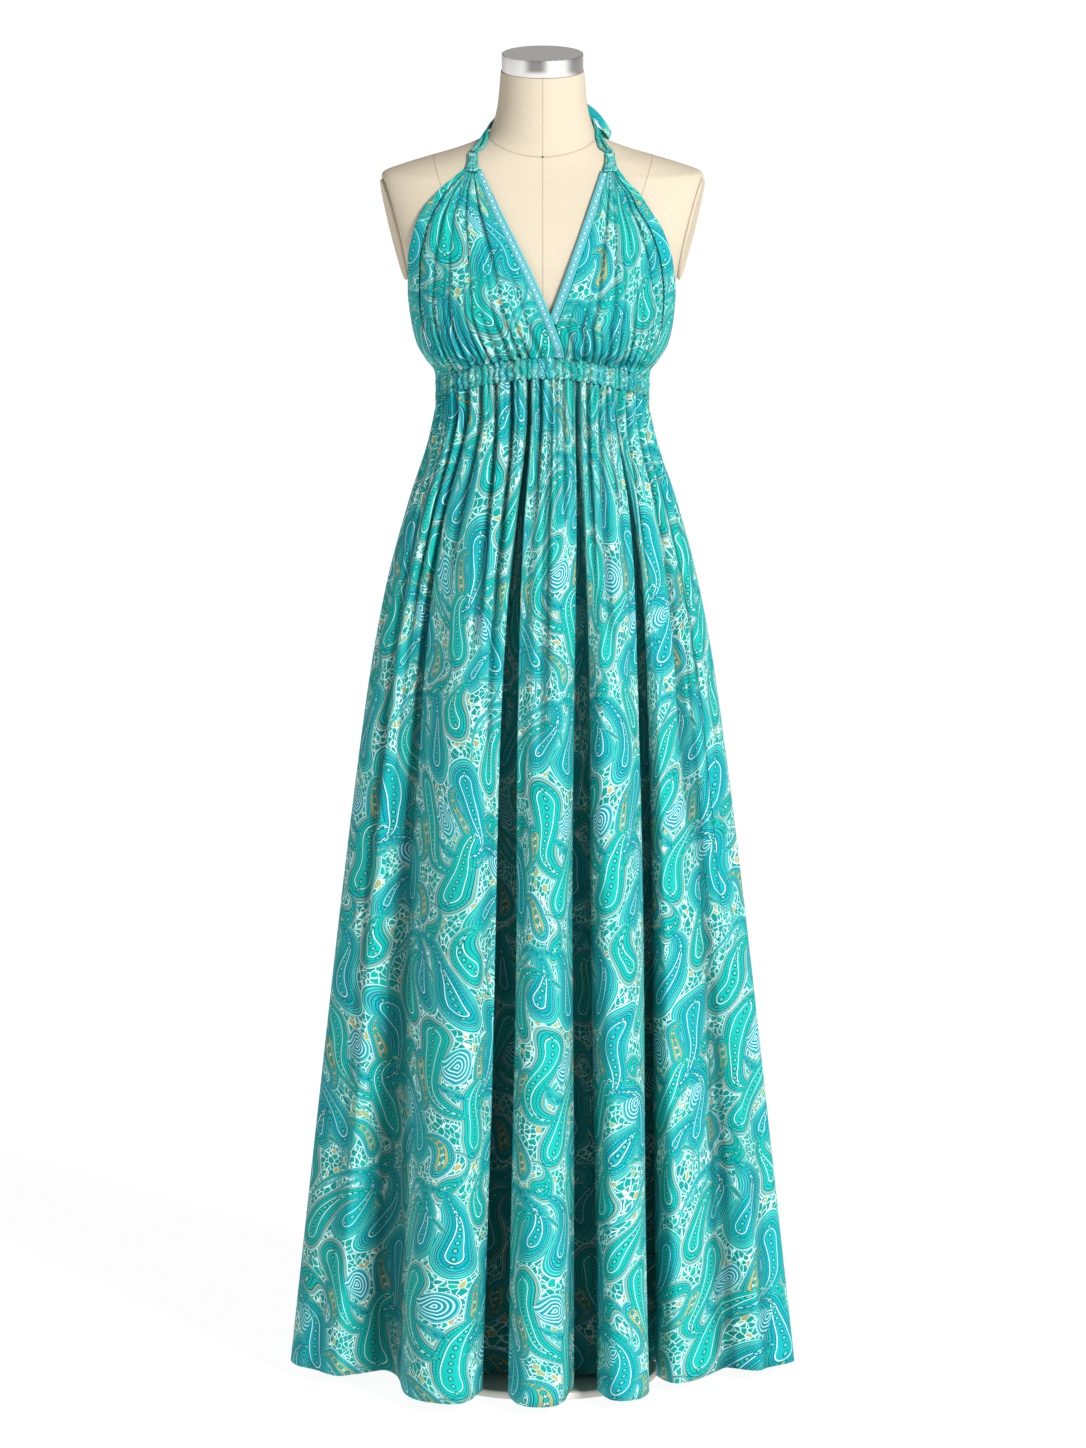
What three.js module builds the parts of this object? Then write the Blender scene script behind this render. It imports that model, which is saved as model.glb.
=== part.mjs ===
// Halter-neck maxi dress, worn by a limbless dress form on a pole and a round base.
// Millimetres, +Z up. The front faces -Y and +X is the viewer's right.
// The origin is on the floor, at the centre of the underside of the base.
import * as THREE from 'three';

// Cloth
const clothThickness = 1.3;
const seamGap = 0.3;
const hemHeight = 15;

// Waist: an elastic band that rises to the centre front
const waistHeight = 1178;
const waistRise = 34;
const waistHalfWidth = 122;
const waistFront = 100;
const waistBack = 96;
const bandHeight = 24;
const bandBulge = 2.5;

// Gathers, each a crest and a valley
const frontGathers = 20;
const backGathers = 16;
const samplesPerGather = 4;
const gatherDepth = 3.0;
const gatherFade = 0.3;
const broadGatherDepth = 3.6;
const broadGatherRise = 0.06;
const broadGatherEnd = 0.75;
const bandGatherDepth = 1.3;
const seamEase = 6;

// Hem, an ellipse that the folds move in and out of
const hemHalfWidth = 296;
const hemFront = 190;
const hemBack = 188;
const foldGrowth = 1.5;

// Bodice
const tabHeight = 1437;
const veeHeight = 1273;
const trimWidth = 11;
const trimNarrowing = { by: 4, over: 45 };
const trimLift = 0.3;
const trimFoot = 8;
const armBandWidth = 13;
const armBandNarrowing = { above: 18, over: 60, least: 0.3 };
const armCrease = { depth: 2.4, share: 0.05, width: 0.07 };
const cupGathers = { left: 11, right: 9 };
const cupGatherDepth = 2.7;
const cupGatherFade = 0.2;
const tabFolds = 5;
const tabFoldFade = 0.5;
const tabFoldSteepness = 0.2;
const bodiceRows = 8;
const bustMound = 15;
const bustX = 74;
const bustHeight = 1276;
const bustSpread = 46;

// Half width of the skirt by height, from the outline of its sides
const skirtSides = [
  { height: hemHeight, halfWidth: 296 },
  { height: 280, halfWidth: 267 },
  { height: 567, halfWidth: 235 },
  { height: 757, halfWidth: 211.5 },
  { height: 852, halfWidth: 198 },
  { height: 947, halfWidth: 180 },
  { height: 1041, halfWidth: 154.5 },
  { height: 1111, halfWidth: 131 },
  { height: 1150, halfWidth: waistHalfWidth },
];

// Folds of the skirt, left to right across the front: waistX at the band, x and y at the hem.
// roundness is the length of the fold's arc, as a share of the way to the next fold.
const frontFolds = [
  { waistX: -122, x: -296, y: 0, roundness: 0.9 },
  { waistX: -108, x: -243, y: -75, roundness: 1.0 },
  { waistX: -86, x: -182, y: -52, roundness: 0.9 },
  { waistX: -52, x: -110, y: -212, roundness: 1.3 },
  { waistX: -15, x: -58, y: -142, roundness: 0.9 },
  { waistX: 13, x: -4, y: -226, roundness: 1.3 },
  { waistX: 40, x: 50, y: -129, roundness: 0.9 },
  { waistX: 63, x: 95, y: -198, roundness: 1.2 },
  { waistX: 84, x: 121, y: -58, roundness: 0.4 },
  { waistX: 100, x: 162, y: -110, roundness: 1.0 },
  { waistX: 111, x: 213, y: -38, roundness: 0.7 },
  { waistX: 118, x: 258, y: -48, roundness: 1.0 },
  { waistX: 122, x: 296, y: 0, roundness: 0.8 },
];

// The same round the back, from its right side to its left
const backFolds = [
  { waistX: 122, x: 296, y: 0, roundness: 0.8 },
  { waistX: 112, x: 252, y: 66, roundness: 1.0 },
  { waistX: 100, x: 205, y: 62, roundness: 0.8 },
  { waistX: 82, x: 160, y: 160, roundness: 1.2 },
  { waistX: 60, x: 112, y: 118, roundness: 0.8 },
  { waistX: 36, x: 66, y: 204, roundness: 1.3 },
  { waistX: 12, x: 22, y: 140, roundness: 0.8 },
  { waistX: -14, x: -30, y: 210, roundness: 1.3 },
  { waistX: -40, x: -78, y: 134, roundness: 0.8 },
  { waistX: -64, x: -124, y: 186, roundness: 1.2 },
  { waistX: -86, x: -168, y: 92, roundness: 0.8 },
  { waistX: -106, x: -226, y: 112, roundness: 1.0 },
  { waistX: -122, x: -296, y: 0, roundness: 0.9 },
];

// Bodice sections by height: an oval of half width, front depth and squareness
const bodiceSections = [
  { height: 1150, halfWidth: 122, front: 100, square: 2.0 },
  { height: 1190, halfWidth: 124, front: 101, square: 2.0 },
  { height: 1206, halfWidth: 134, front: 108, square: 2.1 },
  { height: 1228, halfWidth: 147, front: 109, square: 2.2 },
  { height: 1252, halfWidth: 153, front: 112, square: 2.3 },
  { height: 1290, halfWidth: 158, front: 116, square: 2.4 },
  { height: 1340, halfWidth: 176, front: 112, square: 2.4 },
  { height: 1370, halfWidth: 186, front: 103, square: 2.35 },
  { height: 1400, halfWidth: 192, front: 90, square: 2.3 },
  { height: 1423, halfWidth: 190, front: 77.5, square: 2.2 },
  { height: 1437, halfWidth: 158, front: 70, square: 2.1 },
  { height: 1452, halfWidth: 114, front: 66, square: 2.0 },
];

// Free edge of the cloth at the armholes, by height
const armEdges = [
  { height: 1150, left: 121, right: 122 },
  { height: 1190, left: 124, right: 124 },
  { height: 1206, left: 133.3, right: 133.3 },
  { height: 1228, left: 144.8, right: 144.6 },
  { height: 1252, left: 150.5, right: 150 },
  { height: 1290, left: 155, right: 153 },
  { height: 1329, left: 155, right: 150 },
  { height: 1367, left: 148, right: 139 },
  { height: 1390, left: 139, right: 125 },
  { height: 1412, left: 121, right: 110 },
  { height: 1423, left: 108, right: 98 },
  { height: tabHeight, left: 90, right: 87 },
];

// Edges of the V neck, from the neck tabs to its foot and down the strip to the waist
const neckEdges = [
  { height: 1150, left: 25, right: -37 },
  { height: 1222, left: 25, right: -10.7 },
  { height: veeHeight, left: 10, right: 8 },
  { height: tabHeight, left: -70, right: 68 },
];

// Dress form, by height: oval sections, how far the row leans forward and its tilt
const formSections = [
  { height: 846, halfWidth: 140, front: 90, back: 96, square: 2.1, lean: 0, tilt: 0 },
  { height: 868, halfWidth: 146, front: 93, back: 101, square: 2.1, lean: 0, tilt: 0 },
  { height: 930, halfWidth: 142, front: 92, back: 98, square: 2.1, lean: 0, tilt: 0 },
  { height: 1000, halfWidth: 122, front: 84, back: 86, square: 2.1, lean: 0, tilt: 0 },
  { height: 1066, halfWidth: 108, front: 80, back: 78, square: 2.0, lean: 0, tilt: 0 },
  { height: 1130, halfWidth: 109, front: 82, back: 80, square: 2.0, lean: 0, tilt: 0 },
  { height: 1190, halfWidth: 116, front: 90, back: 88, square: 2.0, lean: 0, tilt: 0 },
  { height: 1228, halfWidth: 131, front: 93, back: 94, square: 2.2, lean: 0, tilt: 0 },
  { height: 1252, halfWidth: 142, front: 101, back: 98, square: 2.3, lean: 0, tilt: 0 },
  { height: 1290, halfWidth: 150, front: 112, back: 102, square: 2.4, lean: 0, tilt: 0 },
  { height: 1312, halfWidth: 160, front: 110.5, back: 102, square: 2.4, lean: 0, tilt: 0 },
  { height: 1340, halfWidth: 171, front: 107, back: 101, square: 2.4, lean: 0, tilt: 0 },
  { height: 1370, halfWidth: 181, front: 98, back: 97, square: 2.35, lean: 0, tilt: 0 },
  { height: 1400, halfWidth: 187, front: 84, back: 88, square: 2.3, lean: 0, tilt: 0 },
  { height: 1414, halfWidth: 188, front: 77, back: 83, square: 2.2, lean: 0, tilt: 0 },
  { height: 1424, halfWidth: 184, front: 71, back: 79, square: 2.2, lean: 0, tilt: 0 },
  { height: 1432, halfWidth: 165, front: 67, back: 75, square: 2.1, lean: 0, tilt: 0 },
  { height: 1441, halfWidth: 136, front: 62.5, back: 71, square: 2.1, lean: 0, tilt: 0 },
  { height: 1450, halfWidth: 105, front: 60, back: 68, square: 2.0, lean: 0, tilt: 0 },
  { height: 1459, halfWidth: 80, front: 58, back: 66, square: 2.0, lean: 0, tilt: 0.2 },
  { height: 1468, halfWidth: 64, front: 57, back: 62, square: 2.0, lean: 0, tilt: 0.6 },
  { height: 1484, halfWidth: 56, front: 54, back: 56, square: 2.0, lean: 1, tilt: 1.4 },
  { height: 1505, halfWidth: 51.5, front: 51, back: 51, square: 2.0, lean: 3, tilt: 2.4 },
  { height: 1543, halfWidth: 48, front: 48, back: 48, square: 2.0, lean: 6, tilt: 3.5 },
];

// Arms of the form are cut off flat and closed by oval plates. The plane of a plate stands
// cutOut from the centre at the plate's middle, slopes in downwards and faces a little forward.
const cutOut = 169.8;
const cutSlope = 0.2375;
const cutTurn = 0.14;
const armPlateCentre = 1358;
const armPlateHalfHeight = 60;
const armPlateHalfDepth = 37;
const armPlateThickness = 3;
const armPlateEdge = 0.8;

// Neck cap and stand
const capRadius = 47;
const capHeight = 20;
const capEdge = 0.8;
const poleRadius = 13;
const socketRadius = 30;
const socketHeight = 14;
const socketTaper = 4;
const baseRadius = 135;
const baseThickness = 9;
const baseEdge = 2;

// Halter straps: two strands on each side, round the neck to the knot.
// angle is measured round the neck from the centre front, and spread parts the strands.
const strandWidth = 5;
const strandThickness = 3.4;
const strapPaths = {
  left: [
    { angle: -48, height: 1453.5, spread: 3.4 },
    { angle: -57, height: 1457.5, spread: 5.2 },
    { angle: -68, height: 1462.5, spread: 3.6 },
    { angle: -88, height: 1469, spread: 2.8 },
    { angle: -108, height: 1476, spread: 2.8 },
    { angle: -130, height: 1485, spread: 2.8 },
    { angle: -152, height: 1492, spread: 2.8 },
    { angle: -172.5, height: 1496, spread: 2.8 },
  ],
  right: [
    { angle: 46, height: 1453.5, spread: 3.4 },
    { angle: 55, height: 1457.5, spread: 5.2 },
    { angle: 66, height: 1462.5, spread: 3.6 },
    { angle: 85, height: 1471, spread: 2.8 },
    { angle: 104, height: 1481, spread: 2.8 },
    { angle: 126, height: 1489, spread: 2.8 },
    { angle: 150, height: 1494, spread: 2.8 },
    { angle: 172.5, height: 1496, spread: 2.8 },
  ],
};
const strandSides = 6;
const strandSteps = 15;

// Tie at the back of the neck: knot, bow loops and tails, each a ribbon along its own points
const knot = { y: 58.7, height: 1496, halfWidth: 7.5, halfDepth: 6.5, halfHeight: 8 };
const ribbonWidth = 10;
const ribbonThickness = 1.6;
const bowPaths = {
  bow_loop_right: [
    { x: 6.9, y: 60, z: 1499 },
    { x: 34, y: 60, z: 1505 },
    { x: 62, y: 44, z: 1494 },
    { x: 79, y: 31, z: 1470 },
    { x: 70, y: 43, z: 1462 },
    { x: 40, y: 60, z: 1480 },
    { x: 8.2, y: 61.5, z: 1495 },
  ],
  bow_loop_left: [
    { x: -6.9, y: 60, z: 1499 },
    { x: -28, y: 65, z: 1500 },
    { x: -47, y: 62, z: 1484 },
    { x: -48, y: 66, z: 1467 },
    { x: -32, y: 71, z: 1468 },
    { x: -8.0, y: 61.5, z: 1495 },
  ],
};
const tailPaths = {
  tie_tail_left: [
    { x: -6, height: 1486.8, out: 5 },
    { x: -10, height: 1468, out: 4 },
    { x: -14, height: 1441, out: 2 },
    { x: -19, height: 1412, out: 2 },
    { x: -24, height: 1380, out: 2 },
    { x: -26, height: 1346, out: 2 },
  ],
  tie_tail_right: [
    { x: 6, height: 1486.8, out: 5 },
    { x: 10, height: 1468, out: 4 },
    { x: 14, height: 1441, out: 2 },
    { x: 17, height: 1414, out: 2 },
    { x: 20, height: 1388, out: 2 },
    { x: 22, height: 1362, out: 2 },
  ],
};

const colours = { cloth: 0x3da8a4, trim: 0x7fc0d2, linen: 0xe6d9c2, steel: 0xb4b2ae, base: 0xd8d5cf };

const degrees = Math.PI / 180;
const mix = (a, b, share) => a + (b - a) * share;
const clamp = (value, low, high) => Math.min(high, Math.max(low, value));

// Smooth value of a column at a height, between rows that are in order of their first column
function lookUp(rows, key, at, column) {
  const last = rows.length - 1;
  if ((rows[last][key] - rows[0][key]) * (at - rows[0][key]) <= 0) return rows[0][column];
  const rising = rows[last][key] > rows[0][key];
  let row = 0;
  while (row < last && (rising ? rows[row + 1][key] < at : rows[row + 1][key] > at)) row += 1;
  if (row === last) return rows[last][column];
  const slope = (i) => {
    if (i < 0 || i >= last) return null;
    return (rows[i + 1][column] - rows[i][column]) / (rows[i + 1][key] - rows[i][key]);
  };
  const tangent = (i) => {
    const before = slope(i - 1);
    const after = slope(i);
    if (before === null) return after;
    if (after === null) return before;
    return before * after <= 0 ? 0 : (2 * before * after) / (before + after);
  };
  const span = rows[row + 1][key] - rows[row][key];
  const s = (at - rows[row][key]) / span;
  return hermite(rows[row][column], tangent(row) * span, rows[row + 1][column], tangent(row + 1) * span, s);
}

function hermite(start, startTangent, end, endTangent, s) {
  const s2 = s * s;
  const s3 = s2 * s;
  return (2 * s3 - 3 * s2 + 1) * start + (s3 - 2 * s2 + s) * startTangent
    + (3 * s2 - 2 * s3) * end + (s3 - s2) * endTangent;
}

// One closed mesh from vertices and faces, each face a list of corners in outward order
function closedMesh(name, points, faces, colour, roughness = 0.8, metalness = 0) {
  const index = [];
  for (const face of faces) {
    for (let i = 1; i + 1 < face.length; i += 1) index.push(face[0], face[i], face[i + 1]);
  }
  const geometry = new THREE.BufferGeometry();
  const numbers = points.flatMap((p) => [p.x, p.y, p.z]);
  geometry.setAttribute('position', new THREE.Float32BufferAttribute(numbers, 3));
  geometry.setIndex(index);
  geometry.computeVertexNormals();
  const material = new THREE.MeshStandardMaterial({ color: colour, roughness, metalness });
  const mesh = new THREE.Mesh(geometry, material);
  mesh.name = name;
  return mesh;
}

// A wall of cloth: surface(u, v, inward) gives its outer face, and its inner face lies
// one thickness in. u runs to the viewer's right on a front piece and v runs down.
function clothWall(name, surface, columns, rows, colour) {
  const outer = [];
  const inner = [];
  for (let row = 0; row <= rows; row += 1) {
    for (let column = 0; column <= columns; column += 1) {
      outer.push(surface(column / columns, row / rows, 0));
      inner.push(surface(column / columns, row / rows, clothThickness));
    }
  }
  return wallBetween(name, outer, inner, columns, rows, colour);
}

function wallBetween(name, outer, inner, columns, rows, colour) {
  const width = columns + 1;
  const points = [...outer, ...inner];
  const inside = outer.length;
  const at = (row, column) => row * width + column;
  const faces = [];
  const quad = (a, b, c, d) => {
    const flat = points[a].distanceTo(points[c]) <= points[b].distanceTo(points[d]);
    faces.push(...(flat ? [[a, b, c], [a, c, d]] : [[a, b, d], [b, c, d]]));
  };
  for (let row = 0; row < rows; row += 1) {
    for (let column = 0; column < columns; column += 1) {
      const [a, b] = [at(row, column), at(row + 1, column)];
      const [c, d] = [at(row + 1, column + 1), at(row, column + 1)];
      quad(a, b, c, d);
      quad(a + inside, d + inside, c + inside, b + inside);
    }
  }
  for (let column = 0; column < columns; column += 1) {
    const [a, b] = [at(0, column), at(0, column + 1)];
    const [c, d] = [at(rows, column), at(rows, column + 1)];
    faces.push([a, b, b + inside, a + inside], [d, c, c + inside, d + inside]);
  }
  for (let row = 0; row < rows; row += 1) {
    const [a, b] = [at(row, 0), at(row + 1, 0)];
    const [c, d] = [at(row, columns), at(row + 1, columns)];
    faces.push([b, a, a + inside, b + inside], [c, d, d + inside, c + inside]);
  }
  return closedMesh(name, points, faces, colour, 0.85);
}

// A closed body from rings of equal length, all going round the same way
function loft(name, rings, colour, roughness, metalness) {
  const count = rings[0].length;
  const points = rings.flat();
  const faces = [];
  for (let ring = 0; ring + 1 < rings.length; ring += 1) {
    for (let i = 0; i < count; i += 1) {
      const next = (i + 1) % count;
      const [a, b] = [ring * count + i, ring * count + next];
      faces.push([a, b, b + count], [a, b + count, a + count]);
    }
  }
  const start = points.push(centreOf(rings[0])) - 1;
  const end = points.push(centreOf(rings[rings.length - 1])) - 1;
  const lastRing = (rings.length - 1) * count;
  for (let i = 0; i < count; i += 1) {
    const next = (i + 1) % count;
    faces.push([start, next, i], [end, lastRing + i, lastRing + next]);
  }
  const volume = faces.reduce((sum, [a, b, c]) => sum + points[a].dot(points[b].clone().cross(points[c])), 0);
  if (volume < 0) faces.forEach((face) => face.reverse());
  return closedMesh(name, points, faces, colour, roughness, metalness);
}

function centreOf(points) {
  const centre = new THREE.Vector3();
  points.forEach((point) => centre.add(point));
  return centre.divideScalar(points.length);
}

// Point of an oval at an angle from the centre front, positive to the viewer's right
function oval(angle, halfWidth, front, back, square) {
  const sine = Math.sin(angle);
  const cosine = Math.cos(angle);
  const power = 2 / square;
  const depth = cosine > 0 ? front : back;
  return {
    x: halfWidth * Math.sign(sine) * Math.abs(sine) ** power,
    y: -depth * Math.sign(cosine) * Math.abs(cosine) ** power,
  };
}

// Waist: its angle for a share of a half's width, and its height, which rises to the front
const frontAngle = (share) => (share - 0.5) * Math.PI;
const backAngle = (share) => (share + 0.5) * Math.PI;
const waistCentre = (angle) => waistHeight + waistRise * Math.max(0, Math.cos(angle)) ** 2;

// Each half stands back from the side seams by half the gap
const seamShift = (toAngle) => (toAngle === frontAngle ? -seamGap / 2 : seamGap / 2);

// Gathers sit unevenly: the share is nudged along the waist, less towards the side seams
const unevenShare = (share) => share
  + Math.sin(share * Math.PI) * (0.008 * Math.sin(19 * share + 1) + 0.004 * Math.sin(47 * share));

function gatherWave(share, count) {
  const strength = 0.78 + 0.22 * Math.sin(31 * share + 2);
  return strength * Math.cos(2 * Math.PI * count * share);
}

// Gathers flatten towards the side seams
const nearSeam = (u) => Math.min(1, Math.sin(u * Math.PI) * seamEase);

// A half of the skirt
function makeSkirtHalf(folds, gathers, hemDepth, waistDepth, toAngle) {
  const rows = folds.map((fold) => {
    const waistAngle = toAngle(0.5) < Math.PI / 2
      ? Math.asin(clamp(fold.waistX / waistHalfWidth, -1, 1))
      : Math.PI - Math.asin(clamp(fold.waistX / waistHalfWidth, -1, 1));
    const hemAngle = Math.atan2(fold.x / hemHalfWidth, -fold.y / hemDepth);
    return {
      ...fold,
      share: (waistAngle - toAngle(0)) / Math.PI,
      hemAngle: hemAngle < toAngle(0) - 0.5 ? hemAngle + 2 * Math.PI : hemAngle,
    };
  });

  function hemPoint(share) {
    let i = 0;
    while (i < rows.length - 2 && rows[i + 1].share < share) i += 1;
    const [from, to] = [rows[i], rows[i + 1]];
    const s = clamp((share - from.share) / (to.share - from.share), 0, 1);
    const chord = Math.hypot(to.x - from.x, to.y - from.y);
    const along = (row) => {
      const x = hemHalfWidth * Math.cos(row.hemAngle);
      const y = hemDepth * Math.sin(row.hemAngle);
      const scale = (chord * row.roundness) / Math.hypot(x, y);
      return { x: x * scale, y: y * scale };
    };
    const [start, end] = [along(from), along(to)];
    return { x: hermite(from.x, start.x, to.x, end.x, s), y: hermite(from.y, start.y, to.y, end.y, s) };
  }

  const spreadAt = (height) => {
    const extra = lookUp(skirtSides, 'height', height, 'halfWidth') - waistHalfWidth;
    return clamp(extra / (hemHalfWidth - waistHalfWidth), 0, 1);
  };

  function section(share, height) {
    const spread = spreadAt(height);
    const waistAngle = toAngle(share);
    const hemAngle = lookUp(rows, 'share', share, 'hemAngle');
    const hem = hemPoint(share);
    const ring = { x: hemHalfWidth * Math.sin(hemAngle), y: -hemDepth * Math.cos(hemAngle) };
    const fold = spread ** foldGrowth;
    const waist = { x: waistHalfWidth * Math.sin(waistAngle), y: -waistDepth * Math.cos(waistAngle) };
    return {
      x: mix(waist.x, ring.x, spread) + (hem.x - ring.x) * fold,
      y: mix(waist.y, ring.y, spread) + (hem.y - ring.y) * fold,
    };
  }

  return (u, v, inward) => {
    const share = clamp(unevenShare(u), 0, 1);
    const top = waistCentre(toAngle(share)) - bandHeight / 2 - seamGap;
    const height = mix(top, hemHeight, v);
    const here = section(share, height);
    const before = section(Math.max(share - 0.004, 0), height);
    const after = section(Math.min(share + 0.004, 1), height);
    const facing = new THREE.Vector2(after.y - before.y, before.x - after.x);
    if (u === 0 || u === 1) facing.setY(0);
    facing.normalize();
    const fine = gatherDepth * gatherWave(u, gathers) * Math.exp(-v / gatherFade);
    const broadShare = (1 - Math.exp(-v / broadGatherRise)) * Math.max(0, 1 - v / broadGatherEnd);
    const broad = broadGatherDepth * gatherWave(u + 0.25 / gathers, gathers / 2) * broadShare;
    const out = (fine + broad) * nearSeam(u) - inward;
    return new THREE.Vector3(here.x + out * facing.x, here.y + out * facing.y + seamShift(toAngle), height);
  };
}

// The elastic band, a casing whose gathers run on from the cups into the skirt
function makeBandHalf(gathers, waistDepth, toAngle) {
  return (u, v, inward) => {
    const angle = toAngle(clamp(unevenShare(u), 0, 1));
    const gather = bandGatherDepth * gatherWave(u, gathers) * nearSeam(u);
    const bulge = bandBulge * Math.sin(v * Math.PI) + gather - inward;
    return new THREE.Vector3(
      (waistHalfWidth + bulge) * Math.sin(angle),
      -(waistDepth + bulge) * Math.cos(angle) + seamShift(toAngle),
      waistCentre(angle) + bandHeight * (0.5 - v),
    );
  };
}

// Bodice: angle on the oval of a point that lies at x, for a height
function bodiceAngle(x, height) {
  const halfWidth = lookUp(bodiceSections, 'height', height, 'halfWidth');
  const square = lookUp(bodiceSections, 'height', height, 'square');
  return Math.sign(x) * Math.asin(clamp(Math.abs(x) / halfWidth, 0, 1) ** (square / 2));
}

// Point of the bodice at an angle and height, lifted by the bust and then by lift
function bodicePoint(angle, height, lift) {
  const turn = clamp(angle, -Math.PI / 2, Math.PI / 2);
  const halfWidth = lookUp(bodiceSections, 'height', height, 'halfWidth');
  const front = lookUp(bodiceSections, 'height', height, 'front');
  const square = lookUp(bodiceSections, 'height', height, 'square');
  const flat = oval(turn, halfWidth, front, front, square);
  const away = ((Math.abs(flat.x) - bustX) / bustSpread) ** 2 + ((height - bustHeight) / bustSpread) ** 2;
  const outward = bustMound * Math.exp(-away) + lift;
  return new THREE.Vector3(
    flat.x + outward * Math.sin(turn) * 0.55,
    flat.y - outward * Math.cos(turn) ** 0.7,
    height,
  );
}

// Edge of a bodice piece: x at a height, from the V neck's edge or the armhole's
const sideSign = { left: -1, right: 1 };
const armX = (side, height) => sideSign[side] * lookUp(armEdges, 'height', height, side);
const neckX = (side, height) => lookUp(neckEdges, 'height', height, side);

// The trim and the armhole strip narrow towards the neck tab
const trimAt = (height) => {
  const narrowed = clamp((height - tabHeight) / trimNarrowing.over + 1, 0, 1);
  return trimWidth - trimNarrowing.by * narrowed;
};
const armStrip = (height) => {
  const share = (tabHeight + armBandNarrowing.above - height) / armBandNarrowing.over;
  return armBandWidth * clamp(share, armBandNarrowing.least, 1);
};
const trimOuterX = (side, height) => (side === 'left'
  ? neckX('left', height) - trimAt(height)
  : Math.max(neckX('right', height) + trimAt(height), neckX('left', height) + seamGap));

// A strip or panel of the bodice between two edges, each a function of height that gives x
function makeBodicePiece(fromX, toX, topHeight, bottomHeight, liftAt) {
  const pointAt = (u, v, height, inward) => {
    const from = bodiceAngle(fromX(height), height);
    const to = bodiceAngle(toX(height), height);
    return bodicePoint(mix(from, to, u), height, liftAt(u, v, height) - inward);
  };
  return (u, v, inward) => {
    let foot = bottomHeight(mix(fromX(waistHeight), toX(waistHeight), u));
    for (let round = 0; round < 3; round += 1) foot = bottomHeight(pointAt(u, 1, foot, 0).x);
    return pointAt(u, v, mix(topHeight, foot, v), inward);
  };
}

const bandTopAt = (x) => {
  const angle = Math.asin(clamp(x / waistHalfWidth, -1, 1));
  return waistCentre(angle) + bandHeight / 2 + 2 * seamGap;
};

// Cup: gathers rise from the waist and folds fan down from the neck tab.
// A fold is never deeper than a fifth of its own width, so that the wall doesn't cross itself.
function makeCup(side) {
  const outward = sideSign[side];
  const gathers = cupGathers[side];
  const inner = (height) => trimOuterX(side, height) + outward * seamGap * (side === 'left' ? 1 : 2.5);
  const outer = (height) => armX(side, height) - outward * (armStrip(height) + seamGap);
  const lift = (u, v, height) => {
    const across = side === 'left' ? 1 - u : u;
    const width = Math.abs(outer(height) - inner(height));
    const edge = Math.min(1, across * 9, (1 - across) * 12);
    const waistGathers = cupGatherDepth * gatherWave(u, gathers) * Math.exp((v - 1) / cupGatherFade);
    const fanDepth = Math.min(gatherDepth, (width / tabFolds) * tabFoldSteepness);
    const fan = fanDepth * gatherWave(u, tabFolds) * Math.exp(-v / tabFoldFade);
    const creaseDepth = Math.min(armCrease.depth, width * armCrease.share) * Math.min(1, (1 - v) * 6);
    const crease = creaseDepth * Math.exp(-(((1 - across) / armCrease.width) ** 2));
    return (waistGathers + fan) * edge - crease;
  };
  const [from, to] = side === 'left' ? [outer, inner] : [inner, outer];
  const surface = makeBodicePiece(from, to, tabHeight, bandTopAt, lift);
  return clothWall(`cup_${side}`, surface, gathers * samplesPerGather, bodiceRows, colours.cloth);
}

function makeArmholeBand(side) {
  const outward = sideSign[side];
  const inner = (height) => armX(side, height) - outward * armStrip(height);
  const outer = (height) => armX(side, height);
  const [from, to] = side === 'left' ? [outer, inner] : [inner, outer];
  const surface = makeBodicePiece(from, to, tabHeight, bandTopAt, () => 0);
  return clothWall(`armhole_band_${side}`, surface, 2, bodiceRows, colours.cloth);
}

function makeNeckTrim(side) {
  const edges = {
    left: {
      from: (height) => trimOuterX('left', height),
      to: (height) => neckX('left', height),
      foot: bandTopAt,
    },
    right: {
      from: (height) => Math.max(neckX('right', height), neckX('left', height) + seamGap),
      to: (height) => neckX('right', height) + trimAt(height),
      foot: () => veeHeight - trimFoot,
    },
  };
  const { from, to, foot } = edges[side];
  const surface = makeBodicePiece(from, to, tabHeight, foot, () => trimLift);
  return clothWall(`neck_trim_${side}`, surface, 2, bodiceRows, colours.trim);
}

function formRow(height) {
  const row = {};
  for (const column of ['halfWidth', 'front', 'back', 'square', 'lean', 'tilt']) {
    row[column] = lookUp(formSections, 'height', height, column);
  }
  return row;
}

// Point of the form's surface, stood off by out
function formPoint(angle, height, out) {
  const row = formRow(height);
  const flat = oval(angle, row.halfWidth + out, row.front + out, row.back + out, row.square);
  const cut = cutOut + cutSlope * (height - armPlateCentre) + cutTurn * flat.y + out;
  return new THREE.Vector3(
    clamp(flat.x, -cut, cut),
    flat.y - row.lean,
    height + flat.y * Math.tan(row.tilt * degrees),
  );
}

function makeFormTorso() {
  const corners = 34;
  const rings = formSections.map(({ height }) => Array.from({ length: corners },
    (_, i) => formPoint((i * 2 * Math.PI) / corners, height, 0)));
  return loft('form_torso', rings, colours.linen, 0.9, 0);
}

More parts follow.
